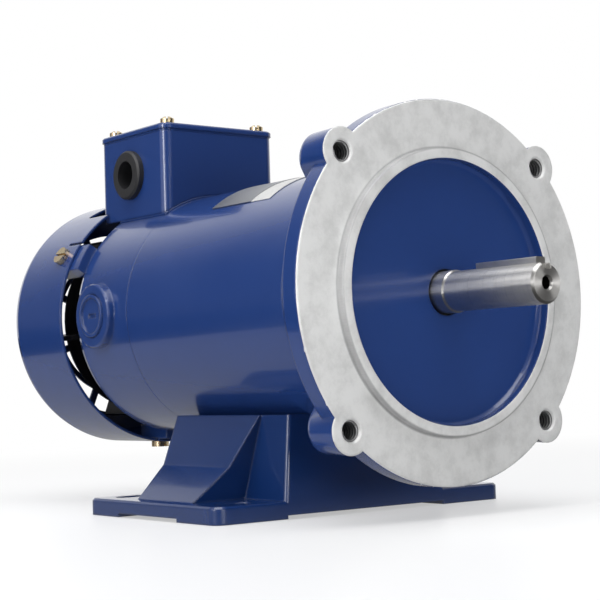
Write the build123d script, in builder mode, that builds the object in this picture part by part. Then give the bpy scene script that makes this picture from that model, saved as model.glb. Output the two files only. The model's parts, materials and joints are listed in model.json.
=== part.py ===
from build123d import *
import os
from math import cos, pi, radians, sin

os.makedirs("parts", exist_ok=True)

# A foot-mounted, face-mounted direct current motor of the 56C frame, fan cooled, with a brush on
# each side. Millimetres. The middle of the bolt circle on the machined face is the origin, +X runs
# out along the shaft and +Z is up.

# Standard sizes of the frame
shaft_height = 88.9
bolt_circle_dia = 149.225
face_tap_dia = 7.94
pilot_dia = 114.3
shaft_dia = 15.875
shaft_reach = 52.4
key_size = 4.76
key_top = 9.92
foot_holes_y = 123.8
foot_holes_x = 76.2
foot_slot_width = 8.73
foot_centre_x = -103.2

# Foot and saddle
foot_length = 98.8
foot_width = 156.0
foot_thickness = 7.2
foot_corner_r = 5.0
foot_edge = 0.9
foot_slot_length = 16.5
pad_relief = 1.5
pad_front_length = 28.4
pad_rear_length = 25.2
pad_inner_y = 42.7
saddle_length = 80.1
saddle_ledge_drop = 46.9
saddle_top_half = 41.0
saddle_foot_half = 43.8
web_top_half_x = 31.0
web_foot_half_x = 21.0
web_top_y = 42.0
web_knee_y = 54.0
web_knee_height = 21.0
web_foot_y = 70.0
core_half_y = 36.0
core_end_wall = 6.0
core_top_drop = 53.0
core_rib = 4.0
core_middle_half = 10.0
saddle_wall = 6.1
base_bolt_dia = 8.0
base_bolt_pitch = 40.0
base_bolt_pad = 2.0

# Frame tube and its magnets
tube_r = 55.88
tube_wall = 5.5
tube_front_x = -36.5
tube_rear_x = -153.2
spigot_length = 4.0
spigot_wall = 3.4
magnet_length = 92.0
magnet_inner_r = 38.8
magnet_half_angle = 62.0

# Front end bell
flange_r = 77.0
flange_thickness = 9.0
rim_edge = 0.5
lug_r = 12.0
lug_full_depth = 7.6
lug_rib_half = 3.5
lug_tail_x = -40.0
pilot_height = 3.15
pilot_wall = 4.25
recess_depth = 2.0
recess_fillet = 1.2
front_skirt_wall = 6.4
front_hub_r = 26.0
face_tap_depth = 19.0
shaft_hole_r = 9.3
front_rib = 5.0

# Bearings of 17 x 40 x 12, shaft seal
bearing_r = 20.0
bearing_bore_r = 8.5
bearing_width = 12.0
bearing_outer_step_r = 16.6
bearing_inner_step_r = 11.3
bearing_shield = 0.7
shield_gap = 0.3
front_bearing_x = -8.0
seal_r = 12.0
seal_width = 3.0
running_gap = 0.05

# Rear end bell
rear_bell_end_x = -203.0
rear_shoulder_r = 7.0
rear_wall = 5.5
rear_hub_r = 26.0
rear_hub_end_x = -206.0
rear_bearing_x = -189.4
brush_x = -178.5
brush_boss_r = 15.0
brush_boss_reach = 59.2
wire_hole_x = -177.0
wire_hole_r = 9.5
tab_angles = (30.0, 150.0, 270.0)
tab_inner_r = 52.5
tab_half_width = 7.0
tab_front_x = -198.0
tab_rear_x = -222.0

# Through bolts
through_bolt_dia = 6.0
through_bolt_pitch_r = 43.0
through_bolt_angles = (72.0, 108.0, 252.0, 288.0)
through_bolt_front_x = -16.0
through_bolt_pad = 0.6
through_bolt_pad_r = 5.8
through_bolt_boss_r = 7.0

# Brushes and their holders
brush_width = 12.5
brush_thickness = 8.0
brush_length = 22.0
brush_gap = 0.1
holder_r = 9.5
holder_inner_y = 22.0
spring_seat_y = 51.0
cap_seat_y = 57.6
cap_face_y = 60.0
cap_r = 10.0
cap_plug_r = 7.5
cap_slot_width = 1.8
cap_slot_length = 6.5
cap_slot_depth = 0.9
cap_rim_r = 8.3
cap_dish = 1.0
boss_edge = 0.8
spring_r = 3.2
spring_wire = 0.8
spring_turns = 4

# Rotor
journal_r = 8.5
journal_end_x = 4.76
shaft_chamfer = 1.0
centre_hole_dia = 4.7
centre_hole_depth = 9.0
key_front_x = 49.4
key_length = 31.7
core_seat_r = 10.0
core_front_x = -60.0
core_length = 76.0
core_r = 38.0
slot_count = 12
slot_width = 5.0
slot_bottom_r = 20.0
slot_neck_r = 34.5
slot_mouth = 2.4
end_turn_front = 13.0
end_turn_rear = 22.0
end_turn_r = 35.0
commutator_r = 19.0
commutator_front_x = -162.5
commutator_rear_x = -189.0
commutator_riser = 4.5
commutator_riser_r = 21.5
commutator_bore_r = 12.5
bar_count = 12
bar_gap = 0.7
bar_gap_depth = 1.8
fan_seat_r = 7.9
fan_seat_x = -212.0
shaft_rear_x = -240.0

# Fan and shroud
fan_hub_r = 12.0
fan_hub_length = 24.0
fan_r = 50.0
fan_blades = 6
fan_phase = 190.0
fan_blade_front_x = -215.0
fan_blade_rear_x = -238.0
fan_blade_thickness = 2.4
fan_web_r = 21.0
clip_width = 1.0
clip_r = 10.5
clip_groove_r = 6.9
shroud_r = 61.0
shroud_wall = 1.3
shroud_front_x = -205.4
shroud_rear_x = -254.0
shroud_corner_r = 6.0
shroud_notch_half = 33.0
shroud_notch_x = -225.5
shroud_notch_corner = 3.0
shroud_slit = 1.4
shroud_slit_length = 11.0
shroud_slit_offset = 7.5
shroud_screw_x = -214.9
shroud_screw_dia = 4.8
grille_rows = ((13.0, 23.0), (24.6, 34.6), (37.0, 46.5))
grille_spokes = 8
grille_spoke_width = 3.5

# Wiring box
box_front_x = -155.2
box_rear_x = -213.0
box_half_y = 31.8
box_top_z = 86.2
box_wall = 2.6
box_floor = 3.0
box_corner_r = 4.5
gasket = 0.8
cover_thickness = 2.6
cover_overhang = 0.7
cover_edge = 0.7
cover_screw_inset = 5.8
cover_screw_dia = 3.5
cover_screw_length = 14.0
box_post_r = 4.2
box_screw_xs = (-162.5, -192.0)
box_screw_dia = 4.8
ground_screw_x = -172.0
ground_screw_y = 18.0
ground_screw_dia = 3.9
ground_screw_length = 4.0
ground_seat_z = 58.6
grommet_x = -185.0
grommet_z = 68.1
grommet_r = 11.65
grommet_neck_r = 9.2
grommet_bore_r = 6.65
grommet_proud = 3.4
grommet_edge = 0.9
grommet_inner_lip = 2.2

# Nameplate
plate_front_x = -83.5
plate_rear_x = -112.3
label_front_x = -70.0
plate_half_angle = 38.8
plate_gap = 0.05
plate_thickness = 0.5
label_thickness = 0.3

# Heads of the visible screws
pan_head_r = 3.3
pan_head_height = 3.6
pan_crown = 1.0
screw_slot_width = 1.1
screw_slot_depth = 1.3
screw_slot_turn = -38.0
shroud_head_r = 4.3
shroud_head_height = 2.6

# Worked out from the sizes above
ground_z = -shaft_height
tube_inner_r = tube_r - tube_wall
foot_front_x = foot_centre_x + foot_length / 2
foot_rear_x = foot_centre_x - foot_length / 2
slab_top_z = ground_z + foot_thickness
ledge_z = -saddle_ledge_drop
knee_z = ground_z + web_knee_height
core_top_height = shaft_height - core_top_drop
saddle_rear_x = foot_front_x - saddle_length
base_seat_z = -tube_r - saddle_wall - base_bolt_pad
base_bolt_middle_x = foot_front_x - saddle_length / 2
recess_r = pilot_dia / 2 - pilot_wall
box_middle_x = (box_front_x + box_rear_x) / 2
box_length = box_front_x - box_rear_x
box_bottom_r = tube_r + gasket
cover_z = box_top_z + gasket
cover_screw_dx = box_length / 2 - cover_screw_inset
cover_screw_dy = box_half_y - cover_screw_inset
core_rear_x = core_front_x - core_length
rear_bearing_end_x = rear_bearing_x - bearing_width
clip_x = fan_seat_x - fan_hub_length


def ring(x_from, x_to, outer, inner=0.0, mode=Mode.ADD):
    """A disc or ring round the shaft axis between two stations."""
    with BuildSketch(Plane.YZ.offset(x_from)) as face:
        Circle(outer)
        if inner > 0:
            Circle(inner, mode=Mode.SUBTRACT)
    extrude(face.sketch, amount=x_to - x_from, mode=mode)


def turned(points, mode=Mode.ADD):
    """A solid of revolution about the shaft from (x, radius) points."""
    with BuildSketch(Plane.XZ) as half:
        Polygon(*points, align=None)
    revolve(half.sketch, axis=Axis.X, mode=mode)


def rounded_corner(x, radius, corner, steps):
    """Profile points round a rear outer corner, from the end face to the side."""
    turns = [pi / 2 * step / steps for step in range(steps + 1)]
    return [(x - corner * cos(turn), radius + corner * sin(turn)) for turn in turns]


def radial_plane(x, angle, radius):
    """A plane across a radius of the motor, its normal pointing outwards."""
    out = (0, cos(radians(angle)), sin(radians(angle)))
    origin = (x, radius * out[1], radius * out[2])
    return Plane(origin=origin, x_dir=(1, 0, 0), z_dir=out)


def axial_plane(x, angle, radius):
    """A plane across the shaft direction with its origin beside the axis."""
    return Plane(
        origin=(x, radius * cos(radians(angle)), radius * sin(radians(angle))),
        x_dir=(0, 1, 0),
        z_dir=(1, 0, 0),
    )


def pin(plane, radius, length, mode=Mode.ADD):
    """A round pin, or a hole in SUBTRACT mode, from a plane along its normal."""
    with BuildSketch(plane) as end:
        Circle(radius)
    extrude(end.sketch, amount=length, mode=mode)


def ring_sector(outer, inner, middle, half):
    """Part of a ring, drawn in the current sketch."""
    reach = 2 * outer
    first = radians(middle - half)
    last = radians(middle + half)
    Circle(outer)
    Circle(inner, mode=Mode.SUBTRACT)
    corners = ((0, 0), (reach * cos(first), reach * sin(first)), (reach * cos(last), reach * sin(last)))
    Polygon(*corners, align=None, mode=Mode.INTERSECT)


def save(builder, name):
    """Label a finished sub-part and write its file."""
    builder.part.label = name
    export_step(builder.part, f"parts/{name}.step")


# Side webs of the foot: a flared gusset under each side of the saddle
with BuildPart() as side_webs:
    with BuildSketch(Plane.YZ.offset(foot_centre_x - web_top_half_x)):
        with BuildLine():
            Polyline((0, slab_top_z), (0, ledge_z), (web_top_y, ledge_z))
            Polyline((web_top_y, ledge_z), (web_knee_y, knee_z), (web_foot_y, slab_top_z), (0, slab_top_z))
        make_face()
        mirror(about=Plane.YZ)
    extrude(amount=2 * web_top_half_x)
    with BuildSketch(Plane.XZ.offset(-foot_width / 2)):
        with BuildLine():
            Polyline(
                (foot_centre_x - web_foot_half_x, slab_top_z),
                (foot_centre_x + web_foot_half_x, slab_top_z),
                (foot_centre_x + web_top_half_x, ledge_z),
                (foot_centre_x - web_top_half_x, ledge_z),
                close=True,
            )
        make_face()
    extrude(amount=foot_width, mode=Mode.INTERSECT)

# Foot: slab on four pads, saddle block, webs, three open cells from below
with BuildPart() as base_foot:
    with BuildSketch(Plane.YZ.offset(saddle_rear_x)):
        with BuildLine():
            Polyline(
                (-saddle_foot_half, slab_top_z - 1),
                (saddle_foot_half, slab_top_z - 1),
                (saddle_top_half, ledge_z),
                (-saddle_top_half, ledge_z),
                close=True,
            )
        make_face()
    extrude(amount=saddle_length)
    corner_edges = base_foot.edges().filter_by(lambda edge: edge.length < 60 and abs(edge.center().Y) > 40)
    fillet(corner_edges, radius=1.5)
    with BuildSketch(Plane.XY.offset(ground_z)):
        with Locations((foot_centre_x, 0)):
            RectangleRounded(foot_length, foot_width, foot_corner_r)
    extrude(amount=foot_thickness)
    slab_edges = base_foot.edges().filter_by(
        lambda edge: abs(edge.center().Z - slab_top_z) < 0.01 and abs(edge.center().Y) > saddle_foot_half + 2
    )
    chamfer(slab_edges, length=foot_edge)
    add(side_webs.part)
    ring(foot_rear_x - 5, foot_front_x + 5, tube_r, mode=Mode.SUBTRACT)
    # Open cells between two lengthwise ribs, their roof following the tube
    side_cell = core_half_y - core_middle_half - core_rib
    cells = (
        (-core_half_y + side_cell / 2, side_cell),
        (0, 2 * core_middle_half),
        (core_half_y - side_cell / 2, side_cell),
    )
    with BuildSketch(Plane.YZ.offset(saddle_rear_x + core_end_wall)):
        for middle, width in cells:
            with Locations((middle, ground_z + core_top_height / 2)):
                Rectangle(width, core_top_height)
        Circle(tube_r + saddle_wall, mode=Mode.SUBTRACT)
    extrude(amount=saddle_length - 2 * core_end_wall, mode=Mode.SUBTRACT)
    for step in (-0.5, 0.5):
        bolt_x = base_bolt_middle_x + step * base_bolt_pitch
        with BuildSketch(Plane.XY.offset(base_seat_z)):
            with Locations((bolt_x, 0)):
                Rectangle(2 * core_middle_half, 2 * core_middle_half)
        extrude(amount=5)
        with Locations((bolt_x, 0, base_seat_z + 8)):
            Cylinder(base_bolt_dia / 2 + 0.4, 20, mode=Mode.SUBTRACT)
    ring(foot_rear_x - 5, foot_front_x + 5, tube_r, mode=Mode.SUBTRACT)
    # Relief under the slab leaves a pad at each corner
    relief_front_x = foot_front_x - pad_front_length
    relief_rear_x = foot_rear_x + pad_rear_length
    with BuildSketch(Plane.XY.offset(ground_z)):
        with Locations((foot_centre_x, 0)):
            Rectangle(foot_length + 2, 2 * pad_inner_y)
        with Locations(((relief_front_x + relief_rear_x) / 2, 0)):
            Rectangle(relief_front_x - relief_rear_x, foot_width + 2)
    extrude(amount=pad_relief, mode=Mode.SUBTRACT)
    with BuildSketch(Plane.XY.offset(ground_z)):
        with Locations((foot_centre_x, 0)):
            with GridLocations(foot_holes_x, foot_holes_y, 2, 2):
                SlotOverall(foot_slot_length, foot_slot_width, rotation=90)
    extrude(amount=foot_thickness, mode=Mode.SUBTRACT)
save(base_foot, "base_foot")

# Bolts that hold the foot to the tube, heads in the middle cell
with BuildPart() as base_bolts:
    for step in (-0.5, 0.5):
        bolt_x = base_bolt_middle_x + step * base_bolt_pitch
        with BuildSketch(Plane.XY.offset(base_seat_z)):
            with Locations((bolt_x, 0)):
                RegularPolygon(6.5, 6, major_radius=False)
        extrude(amount=-5.3)
        with BuildSketch(Plane.XY.offset(base_seat_z)):
            with Locations((bolt_x, 0)):
                Circle(base_bolt_dia / 2)
        extrude(amount=-tube_inner_r - 0.4 - base_seat_z)
save(base_bolts, "base_bolts")

# Frame tube
with BuildPart() as frame_tube:
    ring(tube_rear_x, tube_front_x, tube_r, tube_inner_r)
    for step in (-0.5, 0.5):
        with Locations((base_bolt_middle_x + step * base_bolt_pitch, 0, -tube_r)):
            Cylinder(base_bolt_dia / 2, 3 * tube_wall, mode=Mode.SUBTRACT)
save(frame_tube, "frame_tube")

# Two arc magnets bonded inside the tube, one on each side
with BuildPart() as field_magnets:
    magnet_rear_x = (core_front_x + core_rear_x - magnet_length) / 2
    for middle in (0, 180):
        with BuildSketch(Plane.YZ.offset(magnet_rear_x)):
            ring_sector(tube_inner_r, magnet_inner_r, middle, magnet_half_angle)
        extrude(amount=magnet_length)
save(field_magnets, "field_magnets")

# Side shape of the four ears, thick at the bolt and running down to the tube
ear_reach = bolt_circle_dia / 2 + lug_r
with BuildPart() as ear_sides:
    for angle in (45, 135, 225, 315):
        across = (0, -sin(radians(angle)), cos(radians(angle)))
        with BuildSketch(Plane(origin=(0, 0, 0), x_dir=(1, 0, 0), z_dir=across)):
            with BuildLine():
                Polyline((lug_tail_x, tube_r), (lug_tail_x, 0), (0, 0))
                Polyline((0, 0), (0, ear_reach), (-lug_full_depth, ear_reach))
                ThreePointArc((-lug_full_depth, ear_reach), (-25, 77.8), (-33, 65))
                Polyline((-33, 65), (-38.5, 58.5), (lug_tail_x, tube_r))
            make_face()
        extrude(amount=lug_r + 1, both=True)

# The ears seen from outside: full width at the face, narrowing to a rib behind the bolt
with BuildPart() as ear_tops:
    for angle in (45, 135, 225, 315):
        outward = (0, cos(radians(angle)), sin(radians(angle)))
        with BuildSketch(Plane(origin=(0, 0, 0), x_dir=(1, 0, 0), z_dir=outward)):
            with BuildLine():
                Polyline((lug_tail_x, 0), (0, 0), (0, lug_r), (-lug_r, lug_r))
                ThreePointArc((-lug_r, lug_r), (-20.0, 8.7), (-25.0, lug_rib_half))
                Polyline((-25.0, lug_rib_half), (lug_tail_x, lug_rib_half), (lug_tail_x, 0))
            make_face()
            mirror(about=Plane.XZ)
        extrude(amount=ear_reach + 1)

# Front end bell: four ears run back over the tube, the face carries the pilot ring
with BuildPart() as front_end_bell:
    with BuildSketch(Plane.YZ):
        with PolarLocations(bolt_circle_dia / 2, 4, start_angle=45):
            Circle(lug_r)
        with PolarLocations(bolt_circle_dia / 4 + 15, 4, start_angle=45):
            Rectangle(bolt_circle_dia / 2 - 30, 2 * lug_r)
    extrude(amount=lug_tail_x)
    add(ear_sides.part, mode=Mode.INTERSECT)
    add(ear_tops.part, mode=Mode.INTERSECT)
    ring(tube_front_x, 0, tube_r)
    ring(lug_tail_x, tube_front_x, tube_r, mode=Mode.SUBTRACT)
    ring(-flange_thickness, 0, flange_r)
    rim = front_end_bell.edges().filter_by(GeomType.CIRCLE).filter_by(
        lambda edge: abs(edge.center().X) < 0.01 and abs(edge.radius - flange_r) < 0.01
    )
    chamfer(rim, length=rim_edge)
    ring(0, pilot_height, pilot_dia / 2, recess_r)
    ring(-recess_depth, 0, recess_r, mode=Mode.SUBTRACT)
    recess_edge = front_end_bell.edges().filter_by(GeomType.CIRCLE).filter_by(
        lambda edge: abs(edge.center().X + recess_depth) < 0.01 and abs(edge.radius - recess_r) < 0.01
    )
    chamfer(recess_edge, length=recess_fillet)
    # Hollow round the bearing hub, ribs behind the ears, spigot into the tube
    ring(tube_front_x, -flange_thickness, tube_r - front_skirt_wall, front_hub_r, mode=Mode.SUBTRACT)
    ring(tube_front_x, front_bearing_x - bearing_width - 3, front_hub_r, mode=Mode.SUBTRACT)
    rib_rear_x = front_bearing_x - bearing_width
    rib_outer = tube_r - front_skirt_wall + 0.5
    with BuildSketch(Plane.YZ.offset(rib_rear_x)):
        with PolarLocations((front_hub_r + rib_outer) / 2, 4, start_angle=45):
            Rectangle(rib_outer - front_hub_r + 1, front_rib)
    extrude(amount=-flange_thickness - rib_rear_x)
    ring(tube_front_x - spigot_length, tube_front_x, tube_inner_r, tube_inner_r - spigot_wall)
    for angle in through_bolt_angles:
        boss = axial_plane(tube_front_x, angle, through_bolt_pitch_r)
        pin(boss, through_bolt_boss_r, -flange_thickness - tube_front_x)
    for angle in through_bolt_angles:
        start = axial_plane(tube_front_x - spigot_length - 1, angle, through_bolt_pitch_r)
        pin(start, through_bolt_dia / 2, through_bolt_front_x - start.origin.X, mode=Mode.SUBTRACT)
    # Bearing seat, seal seat and shaft hole
    ring(front_bearing_x - bearing_width - 5, front_bearing_x, bearing_r, mode=Mode.SUBTRACT)
    ring(front_bearing_x, front_bearing_x + seal_width, seal_r, mode=Mode.SUBTRACT)
    ring(front_bearing_x, 0, shaft_hole_r, mode=Mode.SUBTRACT)
    with BuildSketch(Plane.YZ):
        with PolarLocations(bolt_circle_dia / 2, 4, start_angle=45):
            Circle(face_tap_dia / 2)
    extrude(amount=-face_tap_depth, mode=Mode.SUBTRACT)
save(front_end_bell, "front_end_bell")

# Rear end bell with the brush bosses and the three tabs for the shroud
with BuildPart() as rear_end_bell:
    shoulder_x = rear_bell_end_x + rear_shoulder_r
    shoulder = rounded_corner(shoulder_x, tube_r - rear_shoulder_r, rear_shoulder_r, 2)
    turned(((rear_bell_end_x, 0), *shoulder, (tube_rear_x, tube_r), (tube_rear_x, 0)))
    ring(tube_rear_x, tube_rear_x + spigot_length, tube_inner_r)
    for angle in tab_angles:
        with BuildSketch(Plane.YZ.offset(tab_rear_x)):
            with Locations(Location((0, 0), angle)):
                with Locations(((tab_inner_r + shroud_r) / 2, 0)):
                    Rectangle(shroud_r - tab_inner_r, 2 * tab_half_width)
            Circle(shroud_r - shroud_wall, mode=Mode.INTERSECT)
        extrude(amount=tab_front_x - tab_rear_x)
    with BuildSketch(Plane.XZ.offset(-brush_boss_reach)):
        with Locations((brush_x, 0)):
            Circle(brush_boss_r)
    extrude(amount=2 * brush_boss_reach)
    boss_faces = rear_end_bell.edges().filter_by(GeomType.CIRCLE).filter_by(
        lambda edge: abs(abs(edge.center().Y) - brush_boss_reach) < 0.01
    )
    chamfer(boss_faces, length=boss_edge)
    # Hollow inside, then the bearing hub
    ring(rear_bell_end_x + rear_wall, tube_rear_x, tube_r - 6.0, mode=Mode.SUBTRACT)
    ring(tube_rear_x, tube_rear_x + spigot_length, tube_inner_r - spigot_wall, mode=Mode.SUBTRACT)
    ring(rear_hub_end_x, rear_bearing_x + 2, rear_hub_r)
    ring(rear_bearing_end_x, rear_bearing_x + 2, bearing_r, mode=Mode.SUBTRACT)
    ring(rear_hub_end_x, rear_bearing_x, journal_r + running_gap, mode=Mode.SUBTRACT)
    for angle in through_bolt_angles:
        seat = axial_plane(rear_bell_end_x - through_bolt_pad, angle, through_bolt_pitch_r)
        pin(seat, through_bolt_pad_r, rear_wall + through_bolt_pad)
        bore_length = tube_rear_x + spigot_length - seat.origin.X
        pin(seat, through_bolt_dia / 2 + 0.3, bore_length, mode=Mode.SUBTRACT)
    with BuildSketch(Plane.XZ.offset(-brush_boss_reach)):
        with Locations((brush_x, 0)):
            Circle(holder_r)
    extrude(amount=2 * brush_boss_reach, mode=Mode.SUBTRACT)
    for side in (-1, 1):
        with BuildSketch(Plane.XZ.offset(-side * cap_seat_y)):
            with Locations((brush_x, 0)):
                Circle(cap_r + 0.2)
        extrude(amount=-side * (brush_boss_reach - cap_seat_y), mode=Mode.SUBTRACT)
    for angle in tab_angles:
        tab_plane = radial_plane(shroud_screw_x, angle, tab_inner_r - 1)
        pin(tab_plane, shroud_screw_dia / 2, 12, mode=Mode.SUBTRACT)
    for screw_x in box_screw_xs:
        pin(radial_plane(screw_x, 90, tube_r - 8), box_screw_dia / 2, 12, mode=Mode.SUBTRACT)
    pin(radial_plane(wire_hole_x, 90, tube_r - 10), wire_hole_r, 14, mode=Mode.SUBTRACT)
save(rear_end_bell, "rear_end_bell")

# Long bolts that clamp both end bells on the tube
with BuildPart() as through_bolts:
    for angle in through_bolt_angles:
        seat = axial_plane(rear_bell_end_x - through_bolt_pad, angle, through_bolt_pitch_r)
        pin(seat, through_bolt_dia / 2, through_bolt_front_x - 1 - seat.origin.X)
        with BuildSketch(seat):
            RegularPolygon(5.0, 6, major_radius=False)
        extrude(amount=-4.0)
save(through_bolts, "through_bolts")

# Outer rings of both bearings with their shields, and the inner rings
with BuildPart() as bearing_outer_rings:
    for start_x in (front_bearing_x, rear_bearing_x):
        end_x = start_x - bearing_width
        ring(end_x, start_x, bearing_r, bearing_inner_step_r + shield_gap)
        ring(end_x + bearing_shield, start_x - bearing_shield, bearing_outer_step_r, mode=Mode.SUBTRACT)
save(bearing_outer_rings, "bearing_outer_rings")

with BuildPart() as bearing_inner_rings:
    for start_x in (front_bearing_x, rear_bearing_x):
        ring(start_x - bearing_width, start_x, bearing_inner_step_r, bearing_bore_r)
save(bearing_inner_rings, "bearing_inner_rings")

# Shaft seal behind the face
with BuildPart() as shaft_seal:
    ring(front_bearing_x, front_bearing_x + seal_width, seal_r, journal_r + running_gap)
save(shaft_seal, "shaft_seal")

# Shaft with its keyway
with BuildPart() as shaft:
    turned(
        (
            (shaft_rear_x, 0),
            (shaft_rear_x, fan_seat_r - 0.6),
            (shaft_rear_x + 0.6, fan_seat_r),
            (clip_x - clip_width, fan_seat_r),
            (clip_x - clip_width, clip_groove_r),
            (clip_x, clip_groove_r),
            (clip_x, fan_seat_r),
            (fan_seat_x, fan_seat_r),
            (fan_seat_x, journal_r),
            (rear_bearing_x, journal_r),
            (rear_bearing_x, core_seat_r),
            (front_bearing_x - bearing_width, core_seat_r),
            (front_bearing_x - bearing_width, journal_r),
            (journal_end_x - 0.5, journal_r),
            (journal_end_x, shaft_dia / 2),
            (shaft_reach - shaft_chamfer, shaft_dia / 2),
            (shaft_reach, shaft_dia / 2 - shaft_chamfer),
            (shaft_reach, 0),
        )
    )
    turned(
        (
            (shaft_reach + 1, 0),
            (shaft_reach + 1, centre_hole_dia / 2 + 1.2),
            (shaft_reach - 1.2, centre_hole_dia / 2),
            (shaft_reach - centre_hole_depth, centre_hole_dia / 2),
            (shaft_reach - centre_hole_depth - 1.4, 0),
        ),
        mode=Mode.SUBTRACT,
    )
    keyway_start_x = key_front_x - key_length - 0.5
    with BuildSketch(Plane.XY.offset(key_top - key_size)):
        with Locations(((keyway_start_x + shaft_reach + 1) / 2, 0)):
            Rectangle(shaft_reach + 1 - keyway_start_x, key_size)
    extrude(amount=key_size, mode=Mode.SUBTRACT)
save(shaft, "shaft")

# Square key
with BuildPart() as shaft_key:
    with BuildSketch(Plane.XY.offset(key_top - key_size)):
        with Locations((key_front_x - key_length / 2, 0)):
            Rectangle(key_length, key_size)
    extrude(amount=key_size)
    chamfer(shaft_key.edges().filter_by(Axis.X).group_by(Axis.Z)[-1], length=0.3)
save(shaft_key, "shaft_key")

# Laminated armature core with half-closed slots
with BuildPart() as armature_core:
    with BuildSketch(Plane.YZ.offset(core_rear_x)):
        Circle(core_r)
        Circle(core_seat_r, mode=Mode.SUBTRACT)
        with PolarLocations((slot_bottom_r + slot_neck_r) / 2, slot_count):
            Rectangle(slot_neck_r - slot_bottom_r, slot_width, mode=Mode.SUBTRACT)
        with PolarLocations((slot_neck_r + core_r) / 2, slot_count):
            Rectangle(core_r - slot_neck_r + 1, slot_mouth, mode=Mode.SUBTRACT)
    extrude(amount=core_length)
save(armature_core, "armature_core")

# Armature windings: slot sides and two end-turn rings
with BuildPart() as armature_windings:
    with BuildSketch(Plane.YZ.offset(core_rear_x - 1)):
        with PolarLocations((slot_bottom_r + slot_neck_r) / 2, slot_count):
            Rectangle(slot_neck_r - slot_bottom_r - 0.4, slot_width - 0.4)
    extrude(amount=core_length + 2)
    for inside_x, outside_x in (
        (core_front_x + 0.5, core_front_x + end_turn_front),
        (core_rear_x - 0.5, core_rear_x - end_turn_rear),
    ):
        ring(inside_x, outside_x, end_turn_r, slot_bottom_r - 6)
save(armature_windings, "armature_windings")

# Commutator: copper bars with undercut gaps, and the ring that carries them
with BuildPart() as commutator:
    ring(commutator_rear_x, commutator_front_x, commutator_r, commutator_bore_r)
    riser_x = commutator_front_x - commutator_riser
    ring(riser_x, commutator_front_x, commutator_riser_r, commutator_bore_r)
    with BuildSketch(Plane.YZ.offset(commutator_rear_x)):
        with PolarLocations(commutator_r, bar_count):
            Rectangle(2 * bar_gap_depth, bar_gap, mode=Mode.ADD)
    extrude(amount=riser_x - commutator_rear_x, mode=Mode.SUBTRACT)
save(commutator, "commutator")

with BuildPart() as commutator_hub:
    ring(commutator_rear_x + 1, commutator_front_x, commutator_bore_r, core_seat_r)
save(commutator_hub, "commutator_hub")

# Brush holders: insulated guides pressed into the bosses
with BuildPart() as brush_holders:
    for side in (-1, 1):
        with BuildSketch(Plane.XZ.offset(-side * holder_inner_y)):
            with Locations((brush_x, 0)):
                Circle(holder_r)
        extrude(amount=-side * (cap_seat_y - holder_inner_y))
        with BuildSketch(Plane.XZ.offset(-side * holder_inner_y)):
            with Locations((brush_x, 0)):
                Rectangle(brush_width + 2 * running_gap, brush_thickness + 2 * running_gap)
        extrude(amount=-side * (spring_seat_y - holder_inner_y), mode=Mode.SUBTRACT)
        with BuildSketch(Plane.XZ.offset(-side * spring_seat_y)):
            with Locations((brush_x, 0)):
                Circle(cap_plug_r)
        extrude(amount=-side * (cap_seat_y - spring_seat_y), mode=Mode.SUBTRACT)
save(brush_holders, "brush_holders")

# Brushes and their springs, left and right seen from the shaft end
for name, side in (("left", -1), ("right", 1)):
    with BuildPart() as brush:
        with BuildSketch(Plane.XZ.offset(-side * (commutator_r - 2))):
            with Locations((brush_x, 0)):
                Rectangle(brush_width, brush_thickness)
        extrude(amount=-side * (brush_length + 2 + brush_gap))
        ring(brush_x - brush_width, brush_x + brush_width, commutator_r + brush_gap, mode=Mode.SUBTRACT)
    save(brush, f"brush_{name}")

    spring_from = commutator_r + brush_gap + brush_length + 0.5
    spring_height = spring_seat_y - spring_from - 0.5
    corners_per_turn = 8
    path_points = []
    for index in range(spring_turns * corners_per_turn + 1):
        turn = 2 * pi * index / corners_per_turn
        reach = spring_from + spring_height * index / (spring_turns * corners_per_turn)
        path_points.append((brush_x + spring_r * cos(turn), side * reach, spring_r * sin(turn)))
    with BuildPart() as spring:
        with BuildLine() as coil:
            Polyline(*path_points)
        with BuildSketch(Plane(origin=path_points[0], x_dir=(1, 0, 0), z_dir=coil.line % 0)):
            Rectangle(spring_wire, spring_wire)
        sweep(path=coil.line, transition=Transition.RIGHT)
    save(spring, f"brush_spring_{name}")

# Slotted caps that close the brush bosses
with BuildPart() as brush_caps:
    for side in (-1, 1):
        with BuildSketch(Plane.XZ.offset(-side * cap_seat_y)):
            with Locations((brush_x, 0)):
                Circle(cap_r)
        extrude(amount=-side * (cap_face_y - cap_seat_y))
        with BuildSketch(Plane.XZ.offset(-side * spring_seat_y)):
            with Locations((brush_x, 0)):
                Circle(cap_plug_r)
        extrude(amount=-side * (cap_seat_y - spring_seat_y))
        with BuildSketch(Plane.XZ.offset(-side * cap_face_y)):
            with Locations((brush_x, 0)):
                Circle(cap_rim_r)
        extrude(amount=side * cap_dish, mode=Mode.SUBTRACT)
        with BuildSketch(Plane.XZ.offset(-side * cap_face_y)):
            with Locations((brush_x, 0)):
                Rectangle(cap_slot_length, cap_slot_width)
        extrude(amount=side * (cap_dish + cap_slot_depth), mode=Mode.SUBTRACT)
save(brush_caps, "brush_caps")

# Cooling fan with straight radial blades
with BuildPart() as cooling_fan:
    ring(clip_x, fan_seat_x, fan_hub_r, fan_seat_r)
    ring(fan_blade_front_x, fan_blade_front_x + 1.8, fan_web_r, fan_seat_r)
    with BuildSketch(Plane.YZ.offset(fan_blade_rear_x)):
        with PolarLocations((fan_hub_r + fan_r) / 2 - 0.5, fan_blades, start_angle=fan_phase):
            Rectangle(fan_r - fan_hub_r + 1, fan_blade_thickness)
    extrude(amount=fan_blade_front_x - fan_blade_rear_x)
save(cooling_fan, "cooling_fan")

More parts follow.
